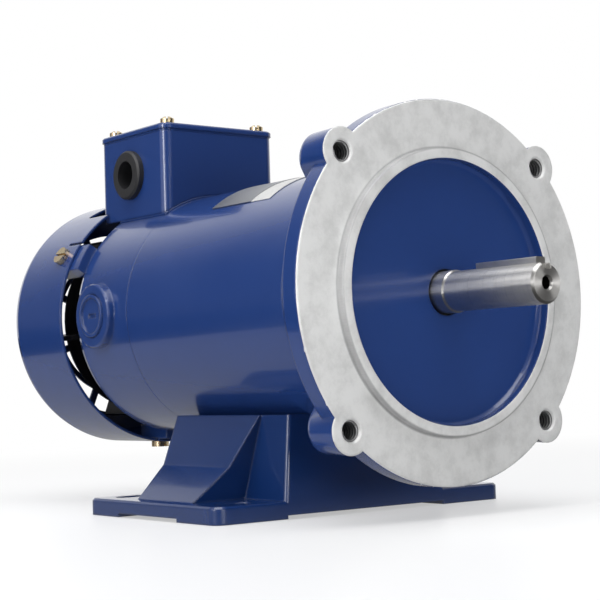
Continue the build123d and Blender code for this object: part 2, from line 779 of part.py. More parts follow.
# Retaining clip behind the fan
with BuildPart() as fan_clip:
    with BuildSketch(Plane.YZ.offset(clip_x - clip_width)):
        Circle(clip_r)
        Circle(clip_groove_r, mode=Mode.SUBTRACT)
        with Locations((clip_r, 0)):
            Rectangle(2 * clip_r, 8.0, mode=Mode.SUBTRACT)
    extrude(amount=clip_width)
save(fan_clip, "fan_clip")

# Fan shroud with the notch for the wiring box and the air grille
with BuildPart() as fan_shroud:
    inner_r = shroud_r - shroud_wall
    inner_x = shroud_rear_x + shroud_wall
    corner_x = shroud_rear_x + shroud_corner_r
    corner = rounded_corner(corner_x, shroud_r - shroud_corner_r, shroud_corner_r, 3)
    turned(((shroud_rear_x, 0), *corner, (shroud_front_x, shroud_r), (shroud_front_x, 0)))
    turned(
        (
            (inner_x, 0),
            (inner_x, shroud_r - shroud_corner_r),
            (corner_x, inner_r),
            (shroud_front_x + 1, inner_r),
            (shroud_front_x + 1, 0),
        ),
        mode=Mode.SUBTRACT,
    )
    with BuildSketch(Plane.XY.offset(10)):
        notch_length = shroud_front_x + 10 - shroud_notch_x
        with Locations((shroud_notch_x + notch_length / 2, 0)):
            RectangleRounded(notch_length, 2 * shroud_notch_half, shroud_notch_corner)
    extrude(amount=shroud_r, mode=Mode.SUBTRACT)
    for near, far in grille_rows:
        with BuildSketch(Plane.YZ.offset(shroud_rear_x - 1)):
            Circle(far)
            Circle(near, mode=Mode.SUBTRACT)
            with PolarLocations((near + far) / 2, grille_spokes, start_angle=180 / grille_spokes):
                Rectangle(2 * (far - near), grille_spoke_width, mode=Mode.SUBTRACT)
        extrude(amount=shroud_wall + 2, mode=Mode.SUBTRACT)
    for angle in tab_angles:
        hole_plane = radial_plane(shroud_screw_x, angle, inner_r - 2)
        pin(hole_plane, shroud_screw_dia / 2 + 0.2, 5, mode=Mode.SUBTRACT)
        slit_plane = radial_plane(shroud_front_x, angle, inner_r - 3)
        with BuildSketch(slit_plane):
            with Locations((-shroud_slit_length / 2 + 1, shroud_slit_offset)):
                Rectangle(shroud_slit_length + 2, shroud_slit)
        extrude(amount=6, mode=Mode.SUBTRACT)
save(fan_shroud, "fan_shroud")

# Three screws that hold the shroud on the tabs
with BuildPart() as shroud_screws:
    for angle in tab_angles:
        shank_plane = radial_plane(shroud_screw_x, angle, tab_inner_r + 0.3)
        pin(shank_plane, shroud_screw_dia / 2, shroud_r - tab_inner_r)
        pin(radial_plane(shroud_screw_x, angle, shroud_r), shroud_head_r, shroud_head_height)
        with BuildSketch(radial_plane(shroud_screw_x, angle, shroud_r + shroud_head_height)):
            Rectangle(2.2 * shroud_head_r, screw_slot_width)
        extrude(amount=-screw_slot_depth, mode=Mode.SUBTRACT)
save(shroud_screws, "shroud_screws")

# Gasket between the wiring box and the rear end bell
with BuildPart() as box_gasket:
    gasket_rear_x = rear_bell_end_x + rear_shoulder_r
    with BuildSketch(Plane.XY.offset(20)):
        with Locations(((box_front_x + gasket_rear_x) / 2, 0)):
            Rectangle(box_front_x - gasket_rear_x, 2 * box_half_y)
    extrude(amount=box_bottom_r)
    ring(gasket_rear_x, box_front_x, box_bottom_r, mode=Mode.INTERSECT)
    ring(gasket_rear_x - 1, box_front_x + 1, tube_r, mode=Mode.SUBTRACT)
    pin(radial_plane(wire_hole_x, 90, 20), wire_hole_r, 50, mode=Mode.SUBTRACT)
    for screw_x in box_screw_xs:
        pin(radial_plane(screw_x, 90, 20), box_screw_dia / 2, 50, mode=Mode.SUBTRACT)
save(box_gasket, "box_gasket")

# Inside of the wiring box, taken out of it below
with BuildPart() as box_hollow:
    with BuildSketch(Plane.XY.offset(20)):
        with Locations((box_middle_x, 0)):
            RectangleRounded(box_length - 2 * box_wall, 2 * (box_half_y - box_wall), box_corner_r - box_wall)
    extrude(amount=box_top_z)
    ring(box_rear_x - 1, box_front_x + 1, box_bottom_r + box_floor, mode=Mode.SUBTRACT)

# Wiring box, its floor curved to the end bell
with BuildPart() as conduit_box:
    with BuildSketch(Plane.XY.offset(30)):
        with Locations((box_middle_x, 0)):
            RectangleRounded(box_length, 2 * box_half_y, box_corner_r)
    extrude(amount=box_top_z - 30)
    add(box_hollow.part, mode=Mode.SUBTRACT)
    with BuildSketch(Plane.XY.offset(30)):
        with Locations((box_middle_x, 0)):
            with GridLocations(2 * cover_screw_dx, 2 * cover_screw_dy, 2, 2):
                Circle(box_post_r)
    extrude(amount=box_top_z - 30)
    ring(box_rear_x - 1, box_front_x + 1, box_bottom_r, mode=Mode.SUBTRACT)
    with BuildSketch(Plane.XY.offset(box_top_z)):
        with Locations((box_middle_x, 0)):
            with GridLocations(2 * cover_screw_dx, 2 * cover_screw_dy, 2, 2):
                Circle(cover_screw_dia / 2)
    extrude(amount=-cover_screw_length - 2, mode=Mode.SUBTRACT)
    pin(radial_plane(wire_hole_x, 90, 50), wire_hole_r, 15, mode=Mode.SUBTRACT)
    for screw_x in box_screw_xs:
        pin(radial_plane(screw_x, 90, 50), box_screw_dia / 2, 15, mode=Mode.SUBTRACT)
    with Locations((ground_screw_x, ground_screw_y, 57)):
        Cylinder(ground_screw_dia / 2, 12, mode=Mode.SUBTRACT)
    with BuildSketch(Plane.XZ.offset(box_half_y)):
        with Locations((grommet_x, grommet_z)):
            Circle(grommet_neck_r)
    extrude(amount=-2 * box_wall, mode=Mode.SUBTRACT)
save(conduit_box, "conduit_box")

# Screws that hold the box down, and the ground screw
with BuildPart() as box_mount_screws:
    for screw_x in box_screw_xs:
        seat = radial_plane(screw_x, 90, box_bottom_r + box_floor)
        pin(seat, 4.4, 3.0)
        pin(seat, box_screw_dia / 2, tube_inner_r + 0.5 - seat.origin.Z)
save(box_mount_screws, "box_mount_screws")

with BuildPart() as ground_screw:
    ground_seat = Plane(origin=(ground_screw_x, ground_screw_y, ground_seat_z), z_dir=(0, 0, 1))
    with BuildSketch(ground_seat):
        RegularPolygon(4.0, 6, major_radius=False)
    extrude(amount=3.0)
    pin(ground_seat, ground_screw_dia / 2, -ground_screw_length)
save(ground_screw, "ground_screw")

# Gasket and cover of the wiring box
with BuildPart() as cover_gasket:
    with BuildSketch(Plane.XY.offset(box_top_z)):
        with Locations((box_middle_x, 0)):
            RectangleRounded(box_length, 2 * box_half_y, box_corner_r)
            RectangleRounded(
                box_length - 2 * box_wall,
                2 * (box_half_y - box_wall),
                box_corner_r - box_wall,
                mode=Mode.SUBTRACT,
            )
    extrude(amount=gasket)
save(cover_gasket, "cover_gasket")

with BuildPart() as box_cover:
    with BuildSketch(Plane.XY.offset(cover_z)):
        with Locations((box_middle_x, 0)):
            RectangleRounded(
                box_length + 2 * cover_overhang,
                2 * (box_half_y + cover_overhang),
                box_corner_r + cover_overhang,
            )
    extrude(amount=cover_thickness)
    chamfer(box_cover.faces().sort_by(Axis.Z)[-1].edges(), length=cover_edge)
    with BuildSketch(Plane.XY.offset(cover_z)):
        with Locations((box_middle_x, 0)):
            with GridLocations(2 * cover_screw_dx, 2 * cover_screw_dy, 2, 2):
                Circle(cover_screw_dia / 2)
    extrude(amount=cover_thickness, mode=Mode.SUBTRACT)
save(box_cover, "box_cover")

with BuildPart() as cover_screws:
    head_z = cover_z + cover_thickness
    for dx in (-cover_screw_dx, cover_screw_dx):
        for dy in (-cover_screw_dy, cover_screw_dy):
            with Locations((box_middle_x + dx, dy, head_z)):
                Cylinder(pan_head_r, pan_head_height, align=(Align.CENTER, Align.CENTER, Align.MIN))
                Cylinder(
                    cover_screw_dia / 2,
                    cover_screw_length,
                    align=(Align.CENTER, Align.CENTER, Align.MAX),
                )
    crowns = cover_screws.edges().filter_by(GeomType.CIRCLE).group_by(Axis.Z)[-1]
    chamfer(crowns, length=pan_crown, length2=1.6 * pan_crown)
    with BuildSketch(Plane.XY.offset(head_z + pan_head_height)):
        with Locations((box_middle_x, 0)):
            with GridLocations(2 * cover_screw_dx, 2 * cover_screw_dy, 2, 2):
                Rectangle(2.2 * pan_head_r, screw_slot_width, rotation=screw_slot_turn)
    extrude(amount=-screw_slot_depth, mode=Mode.SUBTRACT)
save(cover_screws, "cover_screws")

# Rubber grommet in the side of the box
with BuildPart() as cable_grommet:
    outside = Plane(origin=(grommet_x, -box_half_y, grommet_z), x_dir=(1, 0, 0), z_dir=(0, -1, 0))
    pin(outside, grommet_r, grommet_proud)
    chamfer(cable_grommet.edges().filter_by(GeomType.CIRCLE).group_by(Axis.Y)[0], length=grommet_edge)
    pin(outside, grommet_neck_r, -box_wall)
    inside = outside.offset(-box_wall)
    pin(inside, grommet_r, -grommet_inner_lip)
    through = outside.offset(grommet_proud)
    pin(through, grommet_bore_r, -grommet_proud - box_wall - grommet_inner_lip, mode=Mode.SUBTRACT)
save(cable_grommet, "cable_grommet")

# Bare nameplate and the bare label in front of it
with BuildPart() as nameplate:
    with BuildSketch(Plane.YZ.offset(plate_rear_x)):
        ring_sector(tube_r + plate_thickness, tube_r + plate_gap, 90, plate_half_angle)
    extrude(amount=plate_front_x - plate_rear_x)
save(nameplate, "nameplate")

with BuildPart() as plate_label:
    with BuildSketch(Plane.YZ.offset(plate_front_x)):
        ring_sector(tube_r + label_thickness, tube_r + plate_gap, 90, plate_half_angle)
    extrude(amount=label_front_x - plate_front_x)
save(plate_label, "plate_label")
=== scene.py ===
# %% [markdown]
# # A direct current motor
# The frame of the motor comes from its construction model: every casting, screw and shaft is
# already there at its real size. This lesson gives those parts their surfaces, adds the small
# turned details that the construction model leaves out, and lights the whole like a catalogue
# picture on a white table.

# %% The frame
import json
from math import cos, pi, radians, sin

import bpy
from mathutils import Matrix, Vector

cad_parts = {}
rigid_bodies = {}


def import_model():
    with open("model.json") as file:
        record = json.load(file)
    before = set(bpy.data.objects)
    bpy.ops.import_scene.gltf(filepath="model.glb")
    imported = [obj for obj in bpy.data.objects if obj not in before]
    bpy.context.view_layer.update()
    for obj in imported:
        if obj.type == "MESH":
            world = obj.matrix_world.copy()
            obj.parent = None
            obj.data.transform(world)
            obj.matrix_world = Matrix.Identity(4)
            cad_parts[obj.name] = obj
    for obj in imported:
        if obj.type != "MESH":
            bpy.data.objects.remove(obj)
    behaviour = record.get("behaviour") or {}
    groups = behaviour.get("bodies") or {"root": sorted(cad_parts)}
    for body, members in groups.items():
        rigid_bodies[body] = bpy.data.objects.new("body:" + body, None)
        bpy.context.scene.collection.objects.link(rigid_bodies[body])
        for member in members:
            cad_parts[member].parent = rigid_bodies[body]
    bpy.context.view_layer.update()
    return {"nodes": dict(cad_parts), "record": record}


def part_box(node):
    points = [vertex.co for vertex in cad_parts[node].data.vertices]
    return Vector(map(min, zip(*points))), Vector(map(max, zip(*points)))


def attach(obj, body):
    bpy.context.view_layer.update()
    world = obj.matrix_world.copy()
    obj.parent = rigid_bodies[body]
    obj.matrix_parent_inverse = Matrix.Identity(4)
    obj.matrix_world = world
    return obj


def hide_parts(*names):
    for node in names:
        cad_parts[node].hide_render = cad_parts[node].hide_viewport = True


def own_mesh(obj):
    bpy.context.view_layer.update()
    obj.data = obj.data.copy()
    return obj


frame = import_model()
nodes = frame["nodes"]

# %% [markdown]
# The camera stands low in front of the shaft end, a little above the table, and looks up
# slightly. Its place was worked out from the standard sizes of the motor's face and foot, so the
# picture has the perspective of the photograph. The sensor is square, as the picture is.

# %% Camera
azimuth = radians(52.10)
elevation = radians(-3.17)
roll = radians(-1.77)
camera_place = Vector((0.44243, -0.41965, -0.03496))
forward = -Vector((sin(azimuth) * cos(elevation), -cos(azimuth) * cos(elevation), sin(elevation)))
level_right = Vector((cos(azimuth), sin(azimuth), 0.0))
level_up = level_right.cross(forward)
right = cos(roll) * level_right + sin(roll) * level_up
up = cos(roll) * level_up - sin(roll) * level_right
camera_data = bpy.data.cameras.new("camera")
camera_data.lens = 92.05
camera_data.sensor_width = 36.0
camera_data.clip_start = 0.01
camera_data.clip_end = 50.0
camera = bpy.data.objects.new("camera", camera_data)
bpy.context.scene.collection.objects.link(camera)
axes = Matrix((right, up, -forward)).transposed().to_4x4()
camera.matrix_world = Matrix.Translation(camera_place) @ axes
bpy.context.scene.camera = camera
print("camera at", [round(v, 3) for v in camera_place])

# %% [markdown]
# Most materials here share a few effects. Each effect is a node group: a small box of nodes with
# named inputs and outputs, made once and then placed in every material that needs it. The first
# helper makes an empty group, the second places a group, and the third makes a material whose
# Principled shader the rest plugs into, and remembers it under the name of its finish.

# %% Helpers for groups and materials
finishes = {}


def new_group(name, inputs, outputs):
    """An empty shader group with float or colour sockets."""
    group = bpy.data.node_groups.new(name, "ShaderNodeTree")
    for label, kind, value in inputs:
        socket = group.interface.new_socket(name=label, in_out="INPUT", socket_type=kind)
        if value is not None:
            socket.default_value = value
    for label, kind in outputs:
        group.interface.new_socket(name=label, in_out="OUTPUT", socket_type=kind)
    return group, group.nodes.new("NodeGroupInput"), group.nodes.new("NodeGroupOutput")


def place_group(tree, group, values):
    """A group placed in a material, with its own values."""
    node = tree.nodes.new("ShaderNodeGroup")
    node.node_tree = group
    for label, value in values.items():
        if isinstance(value, (int, float, tuple)):
            node.inputs[label].default_value = value
        else:
            tree.links.new(value, node.inputs[label])
    return node


def new_material(name, slot_name):
    """A material with its Principled shader, remembered under the name of its finish."""
    material = bpy.data.materials.new(name)
    material.use_nodes = True
    shader = material.node_tree.nodes["Principled BSDF"]
    finishes[slot_name] = material
    return material, shader


print("made:", [helper.__name__ for helper in (new_group, place_group, new_material)])

# %% [markdown]
# A mask is made of numbers: a distance, a comparison, a smooth step from zero to one. A small
# helper for each keeps the recipes short, and each hands back the socket that the next node reads.

# %% Helpers for numbers
def math_node(tree, operation, first, second=None):
    """One Math node; a number or a socket may stand for each operand."""
    node = tree.nodes.new("ShaderNodeMath")
    node.operation = operation
    for index, value in enumerate((first, second)):
        if value is None:
            continue
        if isinstance(value, (int, float)):
            node.inputs[index].default_value = value
        else:
            tree.links.new(value, node.inputs[index])
    return node.outputs[0]


def scaled(tree, value, factor, offset):
    """The value times a factor, plus an offset."""
    return math_node(tree, "ADD", math_node(tree, "MULTIPLY", value, factor), offset)


def ramp_node(tree, value, low, high):
    """Zero below low, one above high, smooth between."""
    node = tree.nodes.new("ShaderNodeMapRange")
    node.interpolation_type = "SMOOTHSTEP"
    node.inputs["From Min"].default_value = low
    node.inputs["From Max"].default_value = high
    tree.links.new(value, node.inputs["Value"])
    return node.outputs["Result"]


print("made:", [helper.__name__ for helper in (math_node, scaled, ramp_node)])

# %% [markdown]
# A noise gives a surface its small changes, and a mix lets a mask or a noise choose between two
# colours.

# %% Helpers for noise and colour
def noise_node(tree, vector, scale, detail=3.0, roughness=0.5):
    """Value of a noise texture on the given coordinates."""
    node = tree.nodes.new("ShaderNodeTexNoise")
    node.inputs["Scale"].default_value = scale
    node.inputs["Detail"].default_value = detail
    node.inputs["Roughness"].default_value = roughness
    tree.links.new(vector, node.inputs["Vector"])
    return node.outputs["Fac"]


def mix_colour(tree, factor, first, second):
    """Colour mix; each colour is four numbers or a socket."""
    node = tree.nodes.new("ShaderNodeMix")
    node.data_type = "RGBA"
    tree.links.new(factor, node.inputs["Factor"])
    for socket, value in ((node.inputs[6], first), (node.inputs[7], second)):
        if isinstance(value, tuple):
            socket.default_value = value
        else:
            tree.links.new(value, socket)
    return node.outputs[2]


print("made:", [helper.__name__ for helper in (noise_node, mix_colour)])

# %% [markdown]
# Where a pattern sits on the motor is read from Object coordinates: every part keeps its object at
# the origin, so these are metres from the middle of the machined face, and the length of Y and Z
# together is the distance from the shaft axis. This group hands out that radius and the station
# along the shaft, for all the turned surfaces.

# %% Group: where a point lies on the motor
place_tree, _, place_out = new_group(
    "motor_place",
    [],
    [("Vector", "NodeSocketVector"), ("Station", "NodeSocketFloat"), ("Radius", "NodeSocketFloat")],
)
coordinates = place_tree.nodes.new("ShaderNodeTexCoord")
parts = place_tree.nodes.new("ShaderNodeSeparateXYZ")
place_tree.links.new(coordinates.outputs["Object"], parts.inputs[0])
square_y = math_node(place_tree, "MULTIPLY", parts.outputs["Y"], parts.outputs["Y"])
square_z = math_node(place_tree, "MULTIPLY", parts.outputs["Z"], parts.outputs["Z"])
radius_value = math_node(place_tree, "SQRT", math_node(place_tree, "ADD", square_y, square_z))
place_tree.links.new(coordinates.outputs["Object"], place_out.inputs["Vector"])
place_tree.links.new(parts.outputs["X"], place_out.inputs["Station"])
place_tree.links.new(radius_value, place_out.inputs["Radius"])
print(place_tree.name, "has", len(place_tree.nodes), "nodes")

# %% [markdown]
# Sprayed enamel is never quite flat: it dries with a fine orange peel, and on a casting slow waves
# bend the reflections too. A fine noise gives the peel and a broad one the waves, and their sum is
# the height for a Bump node. A third noise is the mottle, by which a material varies its colour
# and roughness a little.

# %% Group: sprayed enamel
peel_scale = 620.0
wave_scale = 46.0
mottle_scale = 18.0
peel_tree, peel_in, peel_out = new_group(
    "enamel_surface",
    [
        ("Vector", "NodeSocketVector", None),
        ("Peel", "NodeSocketFloat", 1.0),
        ("Waves", "NodeSocketFloat", 1.0),
    ],
    [("Height", "NodeSocketFloat"), ("Mottle", "NodeSocketFloat")],
)
fine = noise_node(peel_tree, peel_in.outputs["Vector"], peel_scale, 2.0)
broad = noise_node(peel_tree, peel_in.outputs["Vector"], wave_scale, 2.0)
cloud = noise_node(peel_tree, peel_in.outputs["Vector"], mottle_scale, 5.0, 0.6)
fine_part = math_node(peel_tree, "MULTIPLY", fine, peel_in.outputs["Peel"])
broad_part = math_node(peel_tree, "MULTIPLY", broad, peel_in.outputs["Waves"])
peel_tree.links.new(math_node(peel_tree, "ADD", fine_part, broad_part), peel_out.inputs["Height"])
peel_tree.links.new(cloud, peel_out.inputs["Mottle"])
print(peel_tree.name, "has", len(peel_tree.nodes), "nodes")

# %% [markdown]
# A lathe leaves fine rings round the axis of the work. The rings depend on one number only, the
# radius on a face or the station on a shaft, so the noise is read along that number. A second
# noise, over the whole surface, gives the stains that handling leaves.

# %% Group: turning marks
stain_scale = 90.0
turn_tree, turn_in, turn_out = new_group(
    "turning_marks",
    [
        ("Along", "NodeSocketFloat", 0.0),
        ("Vector", "NodeSocketVector", None),
        ("Spacing", "NodeSocketFloat", 9000.0),
    ],
    [("Rings", "NodeSocketFloat"), ("Stain", "NodeSocketFloat")],
)
ring_noise = turn_tree.nodes.new("ShaderNodeTexNoise")
ring_noise.noise_dimensions = "1D"
ring_noise.inputs["Detail"].default_value = 4.0
ring_noise.inputs["Roughness"].default_value = 0.7
turn_tree.links.new(turn_in.outputs["Along"], ring_noise.inputs["W"])
turn_tree.links.new(turn_in.outputs["Spacing"], ring_noise.inputs["Scale"])
stain = noise_node(turn_tree, turn_in.outputs["Vector"], stain_scale, 6.0, 0.7)
turn_tree.links.new(ring_noise.outputs["Fac"], turn_out.inputs["Rings"])
turn_tree.links.new(stain, turn_out.inputs["Stain"])
print(turn_tree.name, "has", len(turn_tree.nodes), "nodes")

# %% [markdown]
# The enamel is a dark royal blue under a clear, glossy coat. The same function makes it for the castings,
# the pressed shroud and the tube, with more or less waviness: a rolled tube is smoother than a sand
# casting. The foot gets a darker copy of the same blue, which is painted shade for the foot that lies
# under the flange and the body. A Bevel node softens the normals along every edge, because thick paint
# rounds the edges it covers and catches a thin line of light there.

# %% Blue enamel
enamel_blue = (0.0105, 0.032, 0.136, 1.0)
enamel_light = (0.0145, 0.041, 0.16, 1.0)
foot_shade_blue = (0.004, 0.019, 0.088, 1.0)
foot_shade_light = (0.006, 0.026, 0.11, 1.0)
paint_edge_radius = 0.0014
paint_relief = 0.0003
clear_coat = 0.6
coat_roughness = 0.06
paint_ior = 1.5


def blue_enamel(name, peel, waves, dark=enamel_blue, light=enamel_light):
    """Glossy blue paint; returns the material with its shader and sockets for later use."""
    material, shader = new_material(name, name)
    tree = material.node_tree
    spot = place_group(tree, place_tree, {})
    surface = place_group(
        tree, peel_tree, {"Vector": spot.outputs["Vector"], "Peel": peel, "Waves": waves}
    )
    colour = mix_colour(tree, surface.outputs["Mottle"], dark, light)
    edge = tree.nodes.new("ShaderNodeBevel")
    edge.samples = 6
    edge.inputs["Radius"].default_value = paint_edge_radius
    bump = tree.nodes.new("ShaderNodeBump")
    bump.inputs["Strength"].default_value = 0.25
    bump.inputs["Distance"].default_value = paint_relief
    tree.links.new(edge.outputs["Normal"], bump.inputs["Normal"])
    tree.links.new(surface.outputs["Height"], bump.inputs["Height"])
    tree.links.new(bump.outputs["Normal"], shader.inputs["Normal"])
    tree.links.new(colour, shader.inputs["Base Color"])
    roughness = scaled(tree, surface.outputs["Mottle"], 0.22, 0.12)
    tree.links.new(roughness, shader.inputs["Roughness"])
    shader.inputs["Coat Weight"].default_value = clear_coat
    shader.inputs["Coat Roughness"].default_value = coat_roughness
    shader.inputs["IOR"].default_value = paint_ior
    return material, shader, spot, surface, colour, bump


cast_paint = blue_enamel("cast_enamel", 0.45, 1.5)[0]
sheet_paint = blue_enamel("sheet_enamel", 0.2, 0.35)[0]
# Painted shade: the foot's enamel is a darker copy of the cast enamel, standing in for the shade under
# the motor.
foot_shade_paint = blue_enamel("foot_shade_enamel", 0.35, 1.0, foot_shade_blue, foot_shade_light)[0]
print("enamels:", cast_paint.name, sheet_paint.name, foot_shade_paint.name)

# %% [markdown]
# The front end bell is painted first and machined after, so its face and pilot ring are bare
# aluminium while the recess, the rim and the ears stay blue. One material does both: it is bare
# where the surface lies at or in front of the face plane and outside the recess. The tapped holes
# are bare too, and where the tool left the rim the paint has chipped in small bites.

# %% Where the front end bell is bare
face_paint, face_shader, face_spot, face_surface, face_colour, face_bump = blue_enamel(
    "face_casting", 0.25, 1.0
)
tree = face_paint.node_tree
station = face_spot.outputs["Station"]
radius = face_spot.outputs["Radius"]
face_tolerance = 0.00025
recess_radius = 0.0529
wall_tolerance = 0.00012
chip_depth = 0.0018
chip_level = 0.57
chip_scale = 380.0
on_face = math_node(tree, "GREATER_THAN", station, -face_tolerance)
outside_recess = math_node(tree, "GREATER_THAN", radius, recess_radius + wall_tolerance)
machined = math_node(tree, "MULTIPLY", on_face, outside_recess)
chip_noise = noise_node(tree, face_spot.outputs["Vector"], chip_scale, 4.0, 0.65)
near_edge = ramp_node(tree, station, -chip_depth, 0.0)
chips = math_node(tree, "GREATER_THAN", math_node(tree, "MULTIPLY", chip_noise, near_edge), chip_level)
chips = math_node(tree, "MULTIPLY", chips, outside_recess)
print("face casting: bare outside radius", recess_radius)

# %% [markdown]
# The tapped holes lie on the two diagonals of the face, all at one radius, so the distance of a point to
# its nearest hole comes from the sizes of its Y and Z alone. One mask covers the countersink, a narrower
# one the bore, whose metal is darkened as painted shade inside the hole.

# %% Masks round the tapped holes
bolt_circle = 0.149225
tap_radius = 0.00397
countersink_width = 0.0016
bore_tolerance = 0.0001
hole_offset = bolt_circle / 2 * cos(pi / 4)
sides = tree.nodes.new("ShaderNodeSeparateXYZ")
tree.links.new(face_spot.outputs["Vector"], sides.inputs[0])
from_hole = []
for axis in ("Y", "Z"):
    inward = math_node(tree, "ABSOLUTE", sides.outputs[axis])
    gap = math_node(tree, "SUBTRACT", inward, hole_offset)
    from_hole.append(math_node(tree, "MULTIPLY", gap, gap))
hole_distance = math_node(tree, "SQRT", math_node(tree, "ADD", *from_hole))
in_hole = math_node(tree, "LESS_THAN", hole_distance, tap_radius + countersink_width)
in_bore = math_node(tree, "LESS_THAN", hole_distance, tap_radius + bore_tolerance)
bare = math_node(tree, "MAXIMUM", math_node(tree, "MAXIMUM", machined, chips), in_hole)
print("hole centres at", round(hole_offset, 5))

# %% [markdown]
# The bare aluminium is pale and a little stained, with the rings that the tool left. In the corner at the
# foot of the pilot ring a dark line is painted along the rings as painted shade, where the step of the
# ring shades the face. The masks then mix metal and paint in colour, metal share, relief, roughness and
# coat.

# %% Aluminium of the machined face
aluminium_dark = (0.63, 0.63, 0.62, 1.0)
aluminium_light = (0.76, 0.76, 0.75, 1.0)
step_shade_colour = (0.2, 0.2, 0.21, 1.0)
bore_shade_colour = (0.2, 0.2, 0.205, 1.0)
step_shade_radius = 0.05735
step_shade_half = 0.0011
step_shade_core = 0.0002
metal_share = 0.5
painted_roughness = 0.2
face_ring_spacing = 6500.0
face_ring_height = 0.35
marks = place_group(
    tree,
    turn_tree,
    {"Along": radius, "Vector": face_spot.outputs["Vector"], "Spacing": face_ring_spacing},
)
stains = ramp_node(tree, marks.outputs["Stain"], 0.3, 0.62)
aluminium = mix_colour(tree, stains, aluminium_dark, aluminium_light)
# Painted shade: a dark line along the foot of the pilot ring, where the step shades the face.
from_line = math_node(tree, "ABSOLUTE", math_node(tree, "SUBTRACT", radius, step_shade_radius))
in_step_shade = ramp_node(tree, from_line, step_shade_half, step_shade_core)
painted_step_shade = math_node(tree, "MULTIPLY", in_step_shade, marks.outputs["Rings"])
aluminium = mix_colour(tree, painted_step_shade, aluminium, step_shade_colour)
# Painted shade: the bore of each tapped hole is darkened, as it lies in shade.
aluminium = mix_colour(tree, in_bore, aluminium, bore_shade_colour)
tree.links.new(mix_colour(tree, bare, face_colour, aluminium), face_shader.inputs["Base Color"])
tree.links.new(math_node(tree, "MULTIPLY", bare, metal_share), face_shader.inputs["Metallic"])
ring_height = math_node(tree, "MULTIPLY", marks.outputs["Rings"], face_ring_height)
relief = tree.nodes.new("ShaderNodeMix")
tree.links.new(bare, relief.inputs["Factor"])
tree.links.new(face_surface.outputs["Height"], relief.inputs[2])
tree.links.new(ring_height, relief.inputs[3])
tree.links.new(relief.outputs[0], face_bump.inputs["Height"])
rough_mix = tree.nodes.new("ShaderNodeMix")
tree.links.new(bare, rough_mix.inputs["Factor"])
rough_mix.inputs[2].default_value = painted_roughness
tree.links.new(scaled(tree, marks.outputs["Stain"], 0.3, 0.34), rough_mix.inputs[3])
tree.links.new(rough_mix.outputs[0], face_shader.inputs["Roughness"])
paint_only = math_node(tree, "SUBTRACT", 1.0, bare)
tree.links.new(math_node(tree, "MULTIPLY", paint_only, clear_coat), face_shader.inputs["Coat Weight"])
print("face casting:", len(tree.nodes), "nodes")

# %% [markdown]
# The shaft is ground steel: brighter and smoother than the face, with rings that run round it, so
# its turning marks follow the station along the shaft. Screws and other bright parts use the same
# recipe with another colour.

# %% Bright metals
ring_relief = 0.00004


def bright_metal(name, slot_name, colour, darker, rough, spacing, strength=0.2):
    """Turned or plated metal with rings along the shaft and faint stains."""
    material, shader = new_material(name, slot_name)
    tree = material.node_tree
    spot = place_group(tree, place_tree, {})
    marks = place_group(
        tree,
        turn_tree,
        {"Along": spot.outputs["Station"], "Vector": spot.outputs["Vector"], "Spacing": spacing},
    )
    tree.links.new(mix_colour(tree, marks.outputs["Stain"], darker, colour), shader.inputs["Base Color"])
    roughness = scaled(tree, marks.outputs["Rings"], 0.16, rough)
    tree.links.new(roughness, shader.inputs["Roughness"])
    bump = tree.nodes.new("ShaderNodeBump")
    bump.inputs["Strength"].default_value = strength
    bump.inputs["Distance"].default_value = ring_relief
    tree.links.new(marks.outputs["Rings"], bump.inputs["Height"])
    tree.links.new(bump.outputs["Normal"], shader.inputs["Normal"])
    shader.inputs["Metallic"].default_value = 1.0
    return material


shaft_metal = bright_metal(
    "ground_shaft", "ground_steel", (0.74, 0.73, 0.71, 1), (0.5, 0.49, 0.48, 1), 0.22, 5000.0, 0.35
)
bright_metal("drawn_key", "key_steel", (0.66, 0.65, 0.63, 1), (0.42, 0.41, 0.4, 1), 0.26, 3000.0)
bright_metal("clear_zinc", "zinc_clear", (0.6, 0.62, 0.65, 1), (0.4, 0.42, 0.46, 1), 0.3, 1500.0)
bright_metal("race_steel", "bearing_steel", (0.7, 0.7, 0.7, 1), (0.55, 0.55, 0.55, 1), 0.14, 8000.0)
bright_metal("coiled_steel", "spring_steel", (0.5, 0.5, 0.52, 1), (0.3, 0.3, 0.32, 1), 0.3, 2000.0)
bright_metal("stacked_sheets", "lamination", (0.42, 0.42, 0.44, 1), (0.2, 0.2, 0.22, 1), 0.4, 2000.0, 0.9)
bright_metal("bare_copper", "copper", (0.86, 0.42, 0.2, 1), (0.45, 0.17, 0.07, 1), 0.28, 4000.0)
bright_metal("plate_metal", "bare_plate", (0.42, 0.43, 0.45, 1), (0.28, 0.29, 0.31, 1), 0.35, 500.0)
print("bright metals:", sorted(finishes))

# %% [markdown]
# Grinding leaves scratches that run round the shaft, and they stretch every highlight along it.
# The shader's anisotropy does that, with a tangent that turns about the X direction. The end of the shaft
# is only faced off, so it is rougher, and its centre hole is coloured dark as painted shade.

# %% Grain and end of the shaft
centre_hole_radius = 0.0024
centre_hole_shade = (0.05, 0.045, 0.04, 1)
shaft_end_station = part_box("shaft")[1][0] - 0.0002
end_roughness = 0.6
highlight_stretch = 0.85
quarter_turn = 0.25
tree = shaft_metal.node_tree
shaft_shader = tree.nodes["Principled BSDF"]
shaft_shader.inputs["Anisotropic"].default_value = highlight_stretch
shaft_shader.inputs["Anisotropic Rotation"].default_value = quarter_turn
grain_direction = tree.nodes.new("ShaderNodeTangent")
grain_direction.direction_type = "RADIAL"
grain_direction.axis = "X"
tree.links.new(grain_direction.outputs["Tangent"], shaft_shader.inputs["Tangent"])
spot = place_group(tree, place_tree, {})
